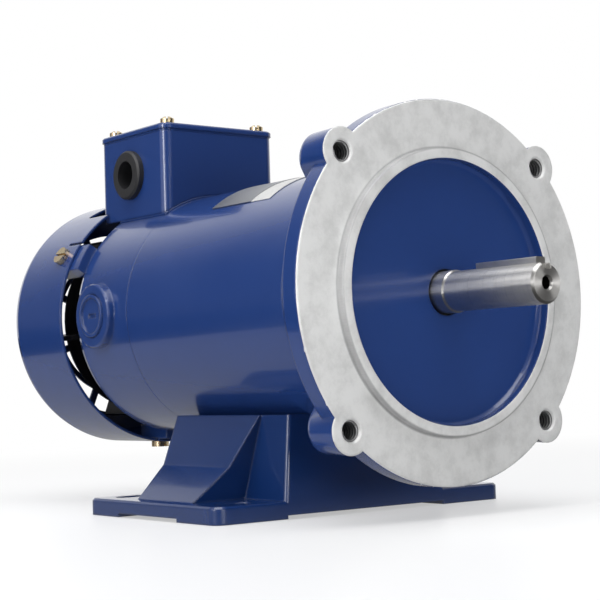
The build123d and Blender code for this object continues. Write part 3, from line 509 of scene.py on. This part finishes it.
# Painted shade: the centre hole in the shaft end is coloured dark, as it lies in shade.
in_centre = math_node(tree, "LESS_THAN", spot.outputs["Radius"], centre_hole_radius)
plain = shaft_shader.inputs["Base Color"].links[0].from_socket
steel = mix_colour(tree, in_centre, plain, centre_hole_shade)
tree.links.new(steel, shaft_shader.inputs["Base Color"])
at_end = math_node(tree, "GREATER_THAN", spot.outputs["Station"], shaft_end_station)
ground_rough = shaft_shader.inputs["Roughness"].links[0].from_socket
end_rough = math_node(tree, "MULTIPLY", at_end, end_roughness)
rougher = math_node(tree, "MAXIMUM", ground_rough, end_rough)
tree.links.new(rougher, shaft_shader.inputs["Roughness"])
print("shaft: end at", round(shaft_end_station, 4))

# %% [markdown]
# Yellow zinc plating is a thin chromate film over steel. Its colour drifts from straw over a pale
# gold to a faint rose, which a slow noise drives through a colour ramp.

# %% Yellow zinc
straw = (0.6, 0.47, 0.28, 1)
pale_gold = (0.72, 0.59, 0.37, 1)
rose_gold = (0.64, 0.46, 0.33, 1)
drift_scale = 160.0
plating_grain = 900.0
zinc, zinc_shader = new_material("yellow_zinc", "zinc_yellow")
tree = zinc.node_tree
spot = place_group(tree, place_tree, {})
drift = tree.nodes.new("ShaderNodeValToRGB")
first, last = drift.color_ramp.elements
first.position, first.color = 0.3, straw
last.position, last.color = 0.7, rose_gold
middle = drift.color_ramp.elements.new(0.5)
middle.color = pale_gold
tree.links.new(noise_node(tree, spot.outputs["Vector"], drift_scale, 3.0), drift.inputs["Fac"])
tree.links.new(drift.outputs["Color"], zinc_shader.inputs["Base Color"])
grain = noise_node(tree, spot.outputs["Vector"], plating_grain, 3.0)
tree.links.new(scaled(tree, grain, 0.2, 0.16), zinc_shader.inputs["Roughness"])
zinc_shader.inputs["Metallic"].default_value = 1.0
print("zinc stops:", len(drift.color_ramp.elements))

# %% [markdown]
# Rubber, moulded plastic, graphite and ferrite do not shine like metal. They share one recipe: a
# dark colour that varies a little, a rough surface and a fine grain. The bare label is made the
# same way, in light grey.

# %% Dull materials
grain_relief = 0.0001


def dull_material(name, slot_name, colour, lighter, rough, grain_scale, strength):
    """Rubber, plastic or pressed powder with a fine grain."""
    material, shader = new_material(name, slot_name)
    tree = material.node_tree
    spot = place_group(tree, place_tree, {})
    cloud = noise_node(tree, spot.outputs["Vector"], 60.0, 4.0)
    tone = mix_colour(tree, cloud, (*colour, 1), (*lighter, 1))
    tree.links.new(tone, shader.inputs["Base Color"])
    grain = noise_node(tree, spot.outputs["Vector"], grain_scale, 2.0)
    tree.links.new(scaled(tree, grain, 0.15, rough), shader.inputs["Roughness"])
    bump = tree.nodes.new("ShaderNodeBump")
    bump.inputs["Strength"].default_value = strength
    bump.inputs["Distance"].default_value = grain_relief
    tree.links.new(grain, bump.inputs["Height"])
    tree.links.new(bump.outputs["Normal"], shader.inputs["Normal"])


# name, slot, darker and lighter colour, roughness, size and strength of the grain
dull_finishes = (
    ("moulded_rubber", "black_rubber", (0.008, 0.008, 0.009), (0.018, 0.018, 0.02), 0.42, 1400.0, 0.3),
    ("moulded_fan", "black_plastic", (0.012, 0.012, 0.014), (0.02, 0.02, 0.023), 0.35, 900.0, 0.2),
    ("insulation", "phenolic", (0.02, 0.016, 0.013), (0.035, 0.028, 0.022), 0.35, 700.0, 0.2),
    ("brush_graphite", "graphite", (0.02, 0.02, 0.022), (0.05, 0.05, 0.055), 0.5, 1600.0, 0.5),
    ("pressed_ferrite", "ferrite", (0.03, 0.03, 0.033), (0.06, 0.06, 0.065), 0.5, 1200.0, 0.4),
    ("plain_label", "bare_label", (0.42, 0.42, 0.41), (0.5, 0.5, 0.49), 0.4, 300.0, 0.05),
)
for entry in dull_finishes:
    dull_material(*entry)
print("finishes:", len(finishes))

# %% [markdown]
# Each node of the frame carries one material slot. The castings, the pressings and the brush caps
# are named here, and every other node takes the finish that its record names.

# %% Dressing the nodes
castings = ("rear_end_bell", "conduit_box", "box_gasket", "cover_gasket", "brush_caps")
pressings = ("frame_tube", "fan_shroud", "box_cover")
recorded = {entry["node"]: entry["material_slot"] for entry in frame["record"]["subparts"]}
for name, piece in nodes.items():
    if name == "front_end_bell":
        finish = face_paint
    # The foot takes the darker enamel, which is painted shade.
    elif name == "base_foot":
        finish = foot_shade_paint
    elif name in castings:
        finish = cast_paint
    elif name in pressings:
        finish = sheet_paint
    else:
        finish = finishes[recorded[name]]
    for slot in piece.material_slots:
        slot.material = finish
print("dressed:", len(nodes))

# %% [markdown]
# The solid of the front end bell has wide ears that run back as ribs. On the real casting each ear
# is a narrower round lug: a cylinder round the bolt, stretched inwards to the body and rounded at
# its back. So the bell is shown by a piece of its own, made as the real one is drawn: a section
# turned about the shaft, with four lugs joined on and drilled. The first helpers do what a
# modeller does by hand: make one mesh active, lay a cylinder along the shaft, and pick vertices by
# their place.

# %% Helpers for picking and laying
def make_active(piece):
    """Selects this piece alone."""
    bpy.ops.object.select_all(action="DESELECT")
    piece.select_set(True)
    bpy.context.view_layer.objects.active = piece


def shaft_cylinder(vertices, radius, length, middle):
    """A closed cylinder that lies along the shaft, as the active mesh, selected alone."""
    bpy.ops.object.select_all(action="DESELECT")
    bpy.ops.mesh.primitive_cylinder_add(
        vertices=vertices, radius=radius, depth=length, location=middle, rotation=(0, pi / 2, 0)
    )
    bpy.ops.object.transform_apply(location=True, rotation=True, scale=True)
    return bpy.context.active_object


def select_vertices(piece, wanted):
    """Opens the piece in edit mode with the vertices whose place passes the test selected."""
    bpy.ops.object.mode_set(mode="EDIT")
    bpy.ops.mesh.select_mode(type="VERT")
    bpy.ops.mesh.select_all(action="DESELECT")
    bpy.ops.object.mode_set(mode="OBJECT")
    for vertex in piece.data.vertices:
        vertex.select = wanted(vertex.co)
    bpy.ops.object.mode_set(mode="EDIT")


print("made:", [helper.__name__ for helper in (make_active, shaft_cylinder, select_vertices)])

# %% [markdown]
# What comes four times is made once and copied round the shaft. A boolean then joins the copies to
# the casting or cuts them away, and a finished piece gets its one material.

# %% Helpers for copying and joining
def round_the_shaft(piece, angles):
    """Copies of a piece that was made on the +Y side, turned about the shaft and joined in one."""
    copies = []
    for angle in angles:
        make_active(piece)
        bpy.ops.object.duplicate(linked=False)
        copy = bpy.context.active_object
        copy.data.transform(Matrix.Rotation(angle, 4, "X"))
        copies.append(copy)
    bpy.data.objects.remove(piece, do_unlink=True)
    make_active(copies[0])
    for copy in copies:
        copy.select_set(True)
    bpy.ops.object.join()
    return bpy.context.active_object


def combine(piece, other, operation):
    """Joins the other mesh to the piece or cuts it away, and removes the other."""
    make_active(piece)
    bpy.ops.object.modifier_add(type="BOOLEAN")
    meeting = piece.modifiers[-1]
    meeting.operation = operation
    meeting.solver = "EXACT"
    meeting.object = other
    bpy.ops.object.modifier_apply(modifier=meeting.name)
    bpy.data.objects.remove(other, do_unlink=True)


def give_material(piece, material):
    """The piece has this material and no other."""
    piece.data.materials.clear()
    piece.data.materials.append(material)


print("made:", [helper.__name__ for helper in (round_the_shaft, combine, give_material)])

# %% [markdown]
# The section of the bell is one closed line of corners, each a station along the shaft and a
# radius, in millimetres. It goes out over the recess, the pilot ring and the machined face, back
# over the rim and the body to the spigot in the tube, and home through the hollow, the bearing seat
# and the seal. A circle of as many vertices is moved onto it, and the spin operator turns it.

# %% The turned body of the bell
merge_gap = 0.000002
spin_steps = 160
face_section = ((-2.0, 9.3), (-2.0, 51.7), (-0.8, 52.9), (3.15, 52.9), (3.15, 57.15), (0.0, 57.15))
rim_section = ((0.0, 76.6), (-0.4, 77.0), (-8.2, 77.0), (-9.0, 76.2), (-9.0, 57.4), (-10.5, 55.88))
spigot_section = ((-36.5, 55.88), (-36.5, 50.38), (-40.5, 50.38), (-40.5, 46.98), (-36.5, 46.98))
hollow_section = ((-36.5, 49.48), (-9.0, 49.48), (-9.0, 26.0), (-23.0, 26.0))
bearing_section = ((-23.0, 20.0), (-8.0, 20.0), (-8.0, 12.0), (-5.0, 12.0), (-5.0, 9.3))
section = face_section + rim_section + spigot_section + hollow_section + bearing_section
bpy.ops.object.select_all(action="DESELECT")
bpy.ops.mesh.primitive_circle_add(vertices=len(section), radius=0.05, location=(0, 0, 0))
casting = bpy.context.active_object
casting.name = "front_bell_casting"
for vertex, (station_mm, radius_mm) in zip(casting.data.vertices, section):
    vertex.co = (station_mm / 1000, radius_mm / 1000, 0)
bpy.ops.object.mode_set(mode="EDIT")
bpy.ops.mesh.select_all(action="SELECT")
bpy.ops.mesh.spin(steps=spin_steps, angle=2 * pi, center=(0, 0, 0), axis=(1, 0, 0))
bpy.ops.mesh.select_all(action="SELECT")
bpy.ops.mesh.remove_doubles(threshold=merge_gap)
bpy.ops.mesh.normals_make_consistent(inside=False)
bpy.ops.object.mode_set(mode="OBJECT")
print("turned body:", len(casting.data.polygons), "faces")

# %% [markdown]
# Four long bolts clamp the bells. Behind the face they run in round bosses, which are cylinders
# that reach from the wall of the hollow to the tube.

# %% Bosses for the through bolts
boss_radius = 0.007
boss_circle = 0.043
boss_length = 0.028
boss_middle_x = -0.0223
boss_angles = [radians(angle) for angle in (72, 108, 252, 288)]
boss = shaft_cylinder(32, boss_radius, boss_length, (boss_middle_x, boss_circle, 0))
combine(casting, round_the_shaft(boss, boss_angles), "UNION")
print("with bosses:", len(casting.data.polygons), "faces")

# %% [markdown]
# One lug is a cylinder along the shaft direction. The half of it that looks at the axis is pressed
# flat and pulled into the wall of the body, and a sloping plane cuts its back, because the casting
# is thicker towards the body. The back edge is rounded with a bevel. The lug starts a hair behind
# the face, because a boolean is not sure of faces that lie in one plane.

# %% The four lugs
tube_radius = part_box("frame_tube")[1][1]
bolt_radius = bolt_circle / 2
diagonals = [radians(45 + 90 * quarter) for quarter in range(4)]
lug_radius = 0.0093
lug_length = 0.033
lug_set_back = 0.00002
lug_inner = 0.0525
lug_rounding = 0.0036
lug_taper = (1, 0.97, 0.92)
lug_pivot = bolt_radius - 0.004
back_outer = Vector((-0.0165, bolt_radius + lug_radius, 0))
back_inner = Vector((-0.0255, tube_radius, 0))
back_run = back_inner - back_outer
back_normal = Vector((back_run.y, -back_run.x, 0)).normalized()
lug = shaft_cylinder(64, lug_radius, lug_length, (-lug_set_back - lug_length / 2, bolt_radius, 0))
select_vertices(lug, lambda place: place.y < bolt_radius - merge_gap)
bpy.ops.transform.resize(value=(1, 0, 1), center_override=(0, lug_inner, 0))
bpy.ops.mesh.select_all(action="SELECT")
bpy.ops.mesh.dissolve_limited(angle_limit=radians(0.5))
bpy.ops.mesh.select_all(action="SELECT")
bpy.ops.mesh.bisect(plane_co=back_outer, plane_no=back_normal, use_fill=True, clear_outer=True)
bpy.ops.transform.resize(value=lug_taper, center_override=(0, lug_pivot, 0))
bpy.ops.mesh.bevel(offset=lug_rounding, segments=6, affect="EDGES")
bpy.ops.mesh.select_all(action="SELECT")
bpy.ops.mesh.normals_make_consistent(inside=False)
bpy.ops.object.mode_set(mode="OBJECT")
print("one lug:", [round(v, 4) for v in lug.dimensions])
combine(casting, round_the_shaft(lug, diagonals), "UNION")

# %% [markdown]
# The drill is a cylinder too. Its front end is drawn back to just behind the face and pushed out
# again wider, which makes the cone of the countersink, and the four drills are cut away at once.

# %% Drilling the lugs
drill_length = 0.04
drill_middle_x = -0.019
countersink_start = -0.0021
countersink_depth = 0.0015
countersink_ratio = 1.24
drill = shaft_cylinder(48, tap_radius, drill_length, (drill_middle_x, bolt_radius, 0))
select_vertices(drill, lambda place: place.x > 0)
bpy.ops.transform.translate(value=(countersink_start, 0, 0))
bpy.ops.mesh.extrude_region_move(TRANSFORM_OT_translate={"value": (countersink_depth, 0, 0)})
bpy.ops.transform.resize(
    value=(1, countersink_ratio, countersink_ratio), center_override=(0, bolt_radius, 0)
)
bpy.ops.object.mode_set(mode="OBJECT")
combine(casting, round_the_shaft(drill, diagonals), "DIFFERENCE")
make_active(casting)
bpy.ops.object.shade_smooth_by_angle(angle=radians(28))
give_material(casting, face_paint)
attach(casting, "stator")
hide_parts("front_end_bell")
print("bell casting:", len(casting.data.polygons), "faces")

# %% [markdown]
# Each tapped hole carries a coarse thread. One turn of it is a small triangle that points at the
# axis of the hole; the Screw modifier carries the triangle round the hole and inwards by one pitch
# a turn.

# %% The first thread
thread_pitch = 0.0015875
thread_turns = 7
thread_start_x = -0.0008
ridge_radius = 0.00052
ridge_overlap = 0.0002
steps_in_turn = 32


def first_thread(centre):
    """A triangular ridge wound round the X direction through the given point."""
    bpy.ops.object.select_all(action="DESELECT")
    bpy.ops.mesh.primitive_circle_add(vertices=3, radius=ridge_radius, location=centre)
    ridge = bpy.context.active_object
    bpy.ops.object.mode_set(mode="EDIT")
    bpy.ops.mesh.select_all(action="SELECT")
    bpy.ops.transform.translate(value=(0, -tap_radius + ridge_overlap, 0))
    bpy.ops.object.mode_set(mode="OBJECT")
    bpy.ops.object.modifier_add(type="SCREW")
    winding = ridge.modifiers[-1]
    winding.axis = "X"
    winding.screw_offset = -thread_pitch
    winding.iterations = thread_turns
    winding.steps = steps_in_turn
    winding.render_steps = steps_in_turn
    bpy.ops.object.modifier_apply(modifier=winding.name)
    bpy.ops.object.transform_apply(location=True, rotation=True, scale=True)
    return ridge


threads = [first_thread((thread_start_x, hole_offset, hole_offset))]
print("thread:", thread_turns, "turns,", len(threads[0].data.polygons), "faces")

# %% [markdown]
# The four holes lie on one circle, so the finished thread is copied to the other three. All four
# share one metal, which is grey and a little rougher than the shaft.

# %% All four threads
thread_metal = bright_metal(
    "cut_thread", "cut_thread", (0.62, 0.62, 0.63, 1), (0.34, 0.34, 0.35, 1), 0.34, 2000.0
)
for side, height in ((-1, 1), (-1, -1), (1, -1)):
    make_active(threads[0])
    bpy.ops.object.duplicate(linked=False)
    copy = bpy.context.active_object
    bpy.ops.transform.translate(value=(0, (side - 1) * hole_offset, (height - 1) * hole_offset))
    bpy.ops.object.transform_apply(location=True, rotation=True, scale=True)
    threads.append(copy)
for index, thread in enumerate(threads):
    thread.name = f"face_thread_{index + 1}"
    give_material(thread, thread_metal)
    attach(thread, "stator")
print("threads:", len(threads), "with", len(threads[0].data.polygons), "faces each")

# %% [markdown]
# Each brush is pushed in by a coil spring, and the spring gets shorter when the brush is pushed back.
# Wire does not stretch, but a coil seen from its side behaves as if it were scaled along its axis, with
# the end at the cap held still. Here a copy of each coil, with its doubled vertices merged, stands for
# the node; it is attached to the stator, and the node itself is hidden. The copy is not pressed together.

# %% Copies of the brush springs
spring_seat = 0.0505
for side, seat in (("left", -spring_seat), ("right", spring_seat)):
    source = nodes["brush_spring_" + side]
    coil = bpy.data.objects.new("coil_" + side, source.data.copy())
    bpy.context.scene.collection.objects.link(coil)
    make_active(coil)
    bpy.ops.object.mode_set(mode="EDIT")
    bpy.ops.mesh.select_all(action="SELECT")
    bpy.ops.mesh.remove_doubles(threshold=merge_gap)
    bpy.ops.object.mode_set(mode="OBJECT")
    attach(coil, "stator")
    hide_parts("brush_spring_" + side)
    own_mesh(coil)

# %% [markdown]
# The fan has a round web between its blades, which also closes the view through the shroud. It is
# a disc with a rolled rim and a raised ring near its middle: a cylinder whose flat sides are inset
# and pushed outwards, then softened by a bevel along its edges.

# %% Web of the fan
fan_low, fan_high = (Vector(corner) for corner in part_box("cooling_fan"))
web_x = (fan_low.x + fan_high.x) / 2 - 0.004
web_radius = fan_high.y - 0.0045
web_thickness = 0.0016
web_insets = ((0.0025, 0.0), (0.0012, -0.0005), (0.021, 0.0), (0.0012, 0.0006), (0.003, 0.0))
fan_web = shaft_cylinder(72, web_radius, web_thickness, (web_x, 0, 0))
fan_web.name = "fan_web"
bpy.ops.object.mode_set(mode="EDIT")
bpy.ops.mesh.select_mode(type="FACE")
bpy.ops.mesh.select_all(action="DESELECT")
bpy.ops.object.mode_set(mode="OBJECT")
for face in fan_web.data.polygons:
    face.select = abs(face.normal.x) > 0.9
bpy.ops.object.mode_set(mode="EDIT")
for step, push in web_insets:
    bpy.ops.mesh.inset(thickness=step, depth=push, use_individual=True)
bpy.ops.object.mode_set(mode="OBJECT")
bpy.ops.object.modifier_add(type="BEVEL")
rolled = fan_web.modifiers[-1]
rolled.width = 0.0003
rolled.segments = 2
rolled.limit_method = "ANGLE"
bpy.ops.object.modifier_apply(modifier=rolled.name)
bpy.ops.object.shade_smooth_by_angle(angle=radians(40))
give_material(fan_web, finishes["black_plastic"])
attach(fan_web, "rotor")
print("fan web radius", round(web_radius, 4), "faces", len(fan_web.data.polygons))

# %% [markdown]
# The picture was taken on a white table, so a large plane lies just under the foot. It belongs to the
# stage and not to the motor.

# %% The table
foot_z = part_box("base_foot")[0][2]
table_drop = 0.0002
bpy.ops.object.select_all(action="DESELECT")
bpy.ops.mesh.primitive_plane_add(size=12.0, location=(0, 0, foot_z - table_drop))
table = bpy.context.active_object
table.name = "table"
white, white_shader = new_material("white_table", "white_table")
tree = white.node_tree
white_shader.inputs["Base Color"].default_value = (0.82, 0.82, 0.82, 1)
white_shader.inputs["Roughness"].default_value = 0.35
table.data.materials.append(white)
print("table at", round(foot_z - table_drop, 4))

# %% [markdown]
# The table stays white to the camera by a little light of its own, so that the lamps need not be
# strong. Near the motor that light is weaker, and the shadow under the motor still falls on it. In
# reflections the table is bright only beside the motor and behind its front edge, which is what
# the glossy castings show. The Light Path node tells which kind of ray asks.

# %% What the camera and the reflections see of the table
near_radius = 0.25
far_radius = 0.9
near_glow = 0.45
table_slant = 0.36
table_edge = -0.388
edge_softness = 0.012
dim_side = 0.06
bright_side = -0.1
mirror_least = 0.06
mirror_more = 0.36
path = tree.nodes.new("ShaderNodeLightPath")
spot = place_group(tree, place_tree, {})
from_origin = tree.nodes.new("ShaderNodeVectorMath")
from_origin.operation = "LENGTH"
tree.links.new(spot.outputs["Vector"], from_origin.inputs[0])
far = ramp_node(tree, from_origin.outputs["Value"], near_radius, far_radius)
camera_glow = scaled(tree, far, 1.0 - near_glow, near_glow)
camera_share = math_node(tree, "MULTIPLY", path.outputs["Is Camera Ray"], camera_glow)
glossy_ray = path.outputs["Is Glossy Ray"]
along = tree.nodes.new("ShaderNodeSeparateXYZ")
tree.links.new(spot.outputs["Vector"], along.inputs[0])
slant = math_node(tree, "MULTIPLY", along.outputs["X"], table_slant)
past_edge = math_node(tree, "ADD", along.outputs["Y"], slant)
on_table = ramp_node(tree, past_edge, table_edge, table_edge + edge_softness)
beside_motor = ramp_node(tree, along.outputs["X"], dim_side, bright_side)
mirror_glow = scaled(tree, beside_motor, mirror_more, mirror_least)
mirror_light = math_node(tree, "MULTIPLY", on_table, mirror_glow)
dimmed = math_node(tree, "MULTIPLY", glossy_ray, math_node(tree, "SUBTRACT", 1.0, mirror_light))
glow = tree.nodes.new("ShaderNodeEmission")
tree.links.new(math_node(tree, "SUBTRACT", 1.0, dimmed), glow.inputs["Strength"])
mixer = tree.nodes.new("ShaderNodeMixShader")
tree.links.new(math_node(tree, "MAXIMUM", camera_share, glossy_ray), mixer.inputs[0])
tree.links.new(white_shader.outputs[0], mixer.inputs[1])
tree.links.new(glow.outputs[0], mixer.inputs[2])
tree.links.new(mixer.outputs[0], tree.nodes["Material Output"].inputs["Surface"])
print("table material:", len(tree.nodes), "nodes")

# %% [markdown]
# Reflections see the studio too: white behind the motor and overhead, a window at the side, and
# dark in front where the photographer stands. That dark part is what leaves the deep blue band
# along the middle of the tube.

# %% The studio round the motor
back_slant = 0.9
back_limits = (0.3, 0.9)
overhead_limits = (0.35, 0.8)
overhead_light = 0.35
window_limits = (0.74, 0.84)
window_light = 0.9
dark_light = 0.05


def even_light(tree, colour, strength):
    """A background shader of one colour."""
    shader = tree.nodes.new("ShaderNodeBackground")
    shader.inputs["Color"].default_value = colour
    shader.inputs["Strength"].default_value = strength
    return shader


world = bpy.data.worlds.new("studio")
bpy.context.scene.world = world
world.use_nodes = True
tree = world.node_tree
room = even_light(tree, (0.9, 0.93, 1.0, 1), 0.35)
backdrop = even_light(tree, (1.0, 1.0, 1.0, 1), 1.0)
studio = even_light(tree, (1.0, 1.0, 1.0, 1), 1.0)
direction = tree.nodes.new("ShaderNodeTexCoord")
aims = tree.nodes.new("ShaderNodeSeparateXYZ")
tree.links.new(direction.outputs["Generated"], aims.inputs[0])
sideways = math_node(tree, "MULTIPLY", aims.outputs["X"], back_slant)
past_motor = math_node(tree, "SUBTRACT", aims.outputs["Y"], sideways)
behind = ramp_node(tree, past_motor, *back_limits)
overhead = ramp_node(tree, aims.outputs["Z"], *overhead_limits)
overhead = math_node(tree, "MULTIPLY", overhead, overhead_light)
window = ramp_node(tree, math_node(tree, "MULTIPLY", aims.outputs["Y"], -1.0), *window_limits)
window = math_node(tree, "MULTIPLY", window, window_light)
bright = math_node(tree, "MAXIMUM", math_node(tree, "MAXIMUM", behind, overhead), window)
tree.links.new(scaled(tree, bright, 1.0 - dark_light, dark_light), studio.inputs["Strength"])
print("world:", len(tree.nodes), "nodes")

# %% [markdown]
# The world is then mixed from three backgrounds. Reflections see the studio, the camera sees plain
# white, and all other rays meet a faint and slightly blue room, which fills the shadows.

# %% Which ray sees what
path = tree.nodes.new("ShaderNodeLightPath")
mirror_ray = math_node(
    tree, "MAXIMUM", path.outputs["Is Glossy Ray"], path.outputs["Is Transmission Ray"]
)
mirrored = tree.nodes.new("ShaderNodeMixShader")
tree.links.new(mirror_ray, mirrored.inputs[0])
tree.links.new(room.outputs[0], mirrored.inputs[1])
tree.links.new(studio.outputs[0], mirrored.inputs[2])
mixer = tree.nodes.new("ShaderNodeMixShader")
tree.links.new(path.outputs["Is Camera Ray"], mixer.inputs[0])
tree.links.new(mirrored.outputs[0], mixer.inputs[1])
tree.links.new(backdrop.outputs[0], mixer.inputs[2])
tree.links.new(mixer.outputs[0], tree.nodes["World Output"].inputs["Surface"])
bpy.context.scene.view_settings.view_transform = "Standard"
print("view transform:", bpy.context.scene.view_settings.view_transform)

# %% [markdown]
# Four soft lamps light the motor: a large one overhead, one before the shaft end that makes the
# machined face pale, a weak one on the brush side, and a narrow upright one whose image is the
# bright line down the corner of the box.

# %% Lamps
def soft_lamp(name, place, target, width, height, power):
    """A rectangular soft lamp that faces its target."""
    data = bpy.data.lights.new(name, "AREA")
    data.shape = "RECTANGLE"
    data.size = width
    data.size_y = height
    data.energy = power
    lamp = bpy.data.objects.new(name, data)
    bpy.context.scene.collection.objects.link(lamp)
    aim = Vector(target) - Vector(place)
    lamp.matrix_world = Matrix.Translation(place) @ aim.to_track_quat("-Z", "Y").to_matrix().to_4x4()
    return lamp


motor_middle = (-0.1, 0.0, 0.0)
lamps = [
    soft_lamp("overhead", (0.1, -0.2, 1.1), motor_middle, 1.2, 1.0, 14.0),
    soft_lamp("shaft_side", (1.15, -0.05, -0.03), motor_middle, 0.7, 0.4, 8.0),
    soft_lamp("brush_side", (-0.35, -1.05, 0.8), motor_middle, 0.7, 0.6, 3.0),
    soft_lamp("tall_box", (0.1, -1.0, 0.36), (0.1, 0.0, 0.36), 0.2, 0.88, 6.0),
]
print("lamps, in watts:", {lamp.name: round(lamp.data.energy, 1) for lamp in lamps})
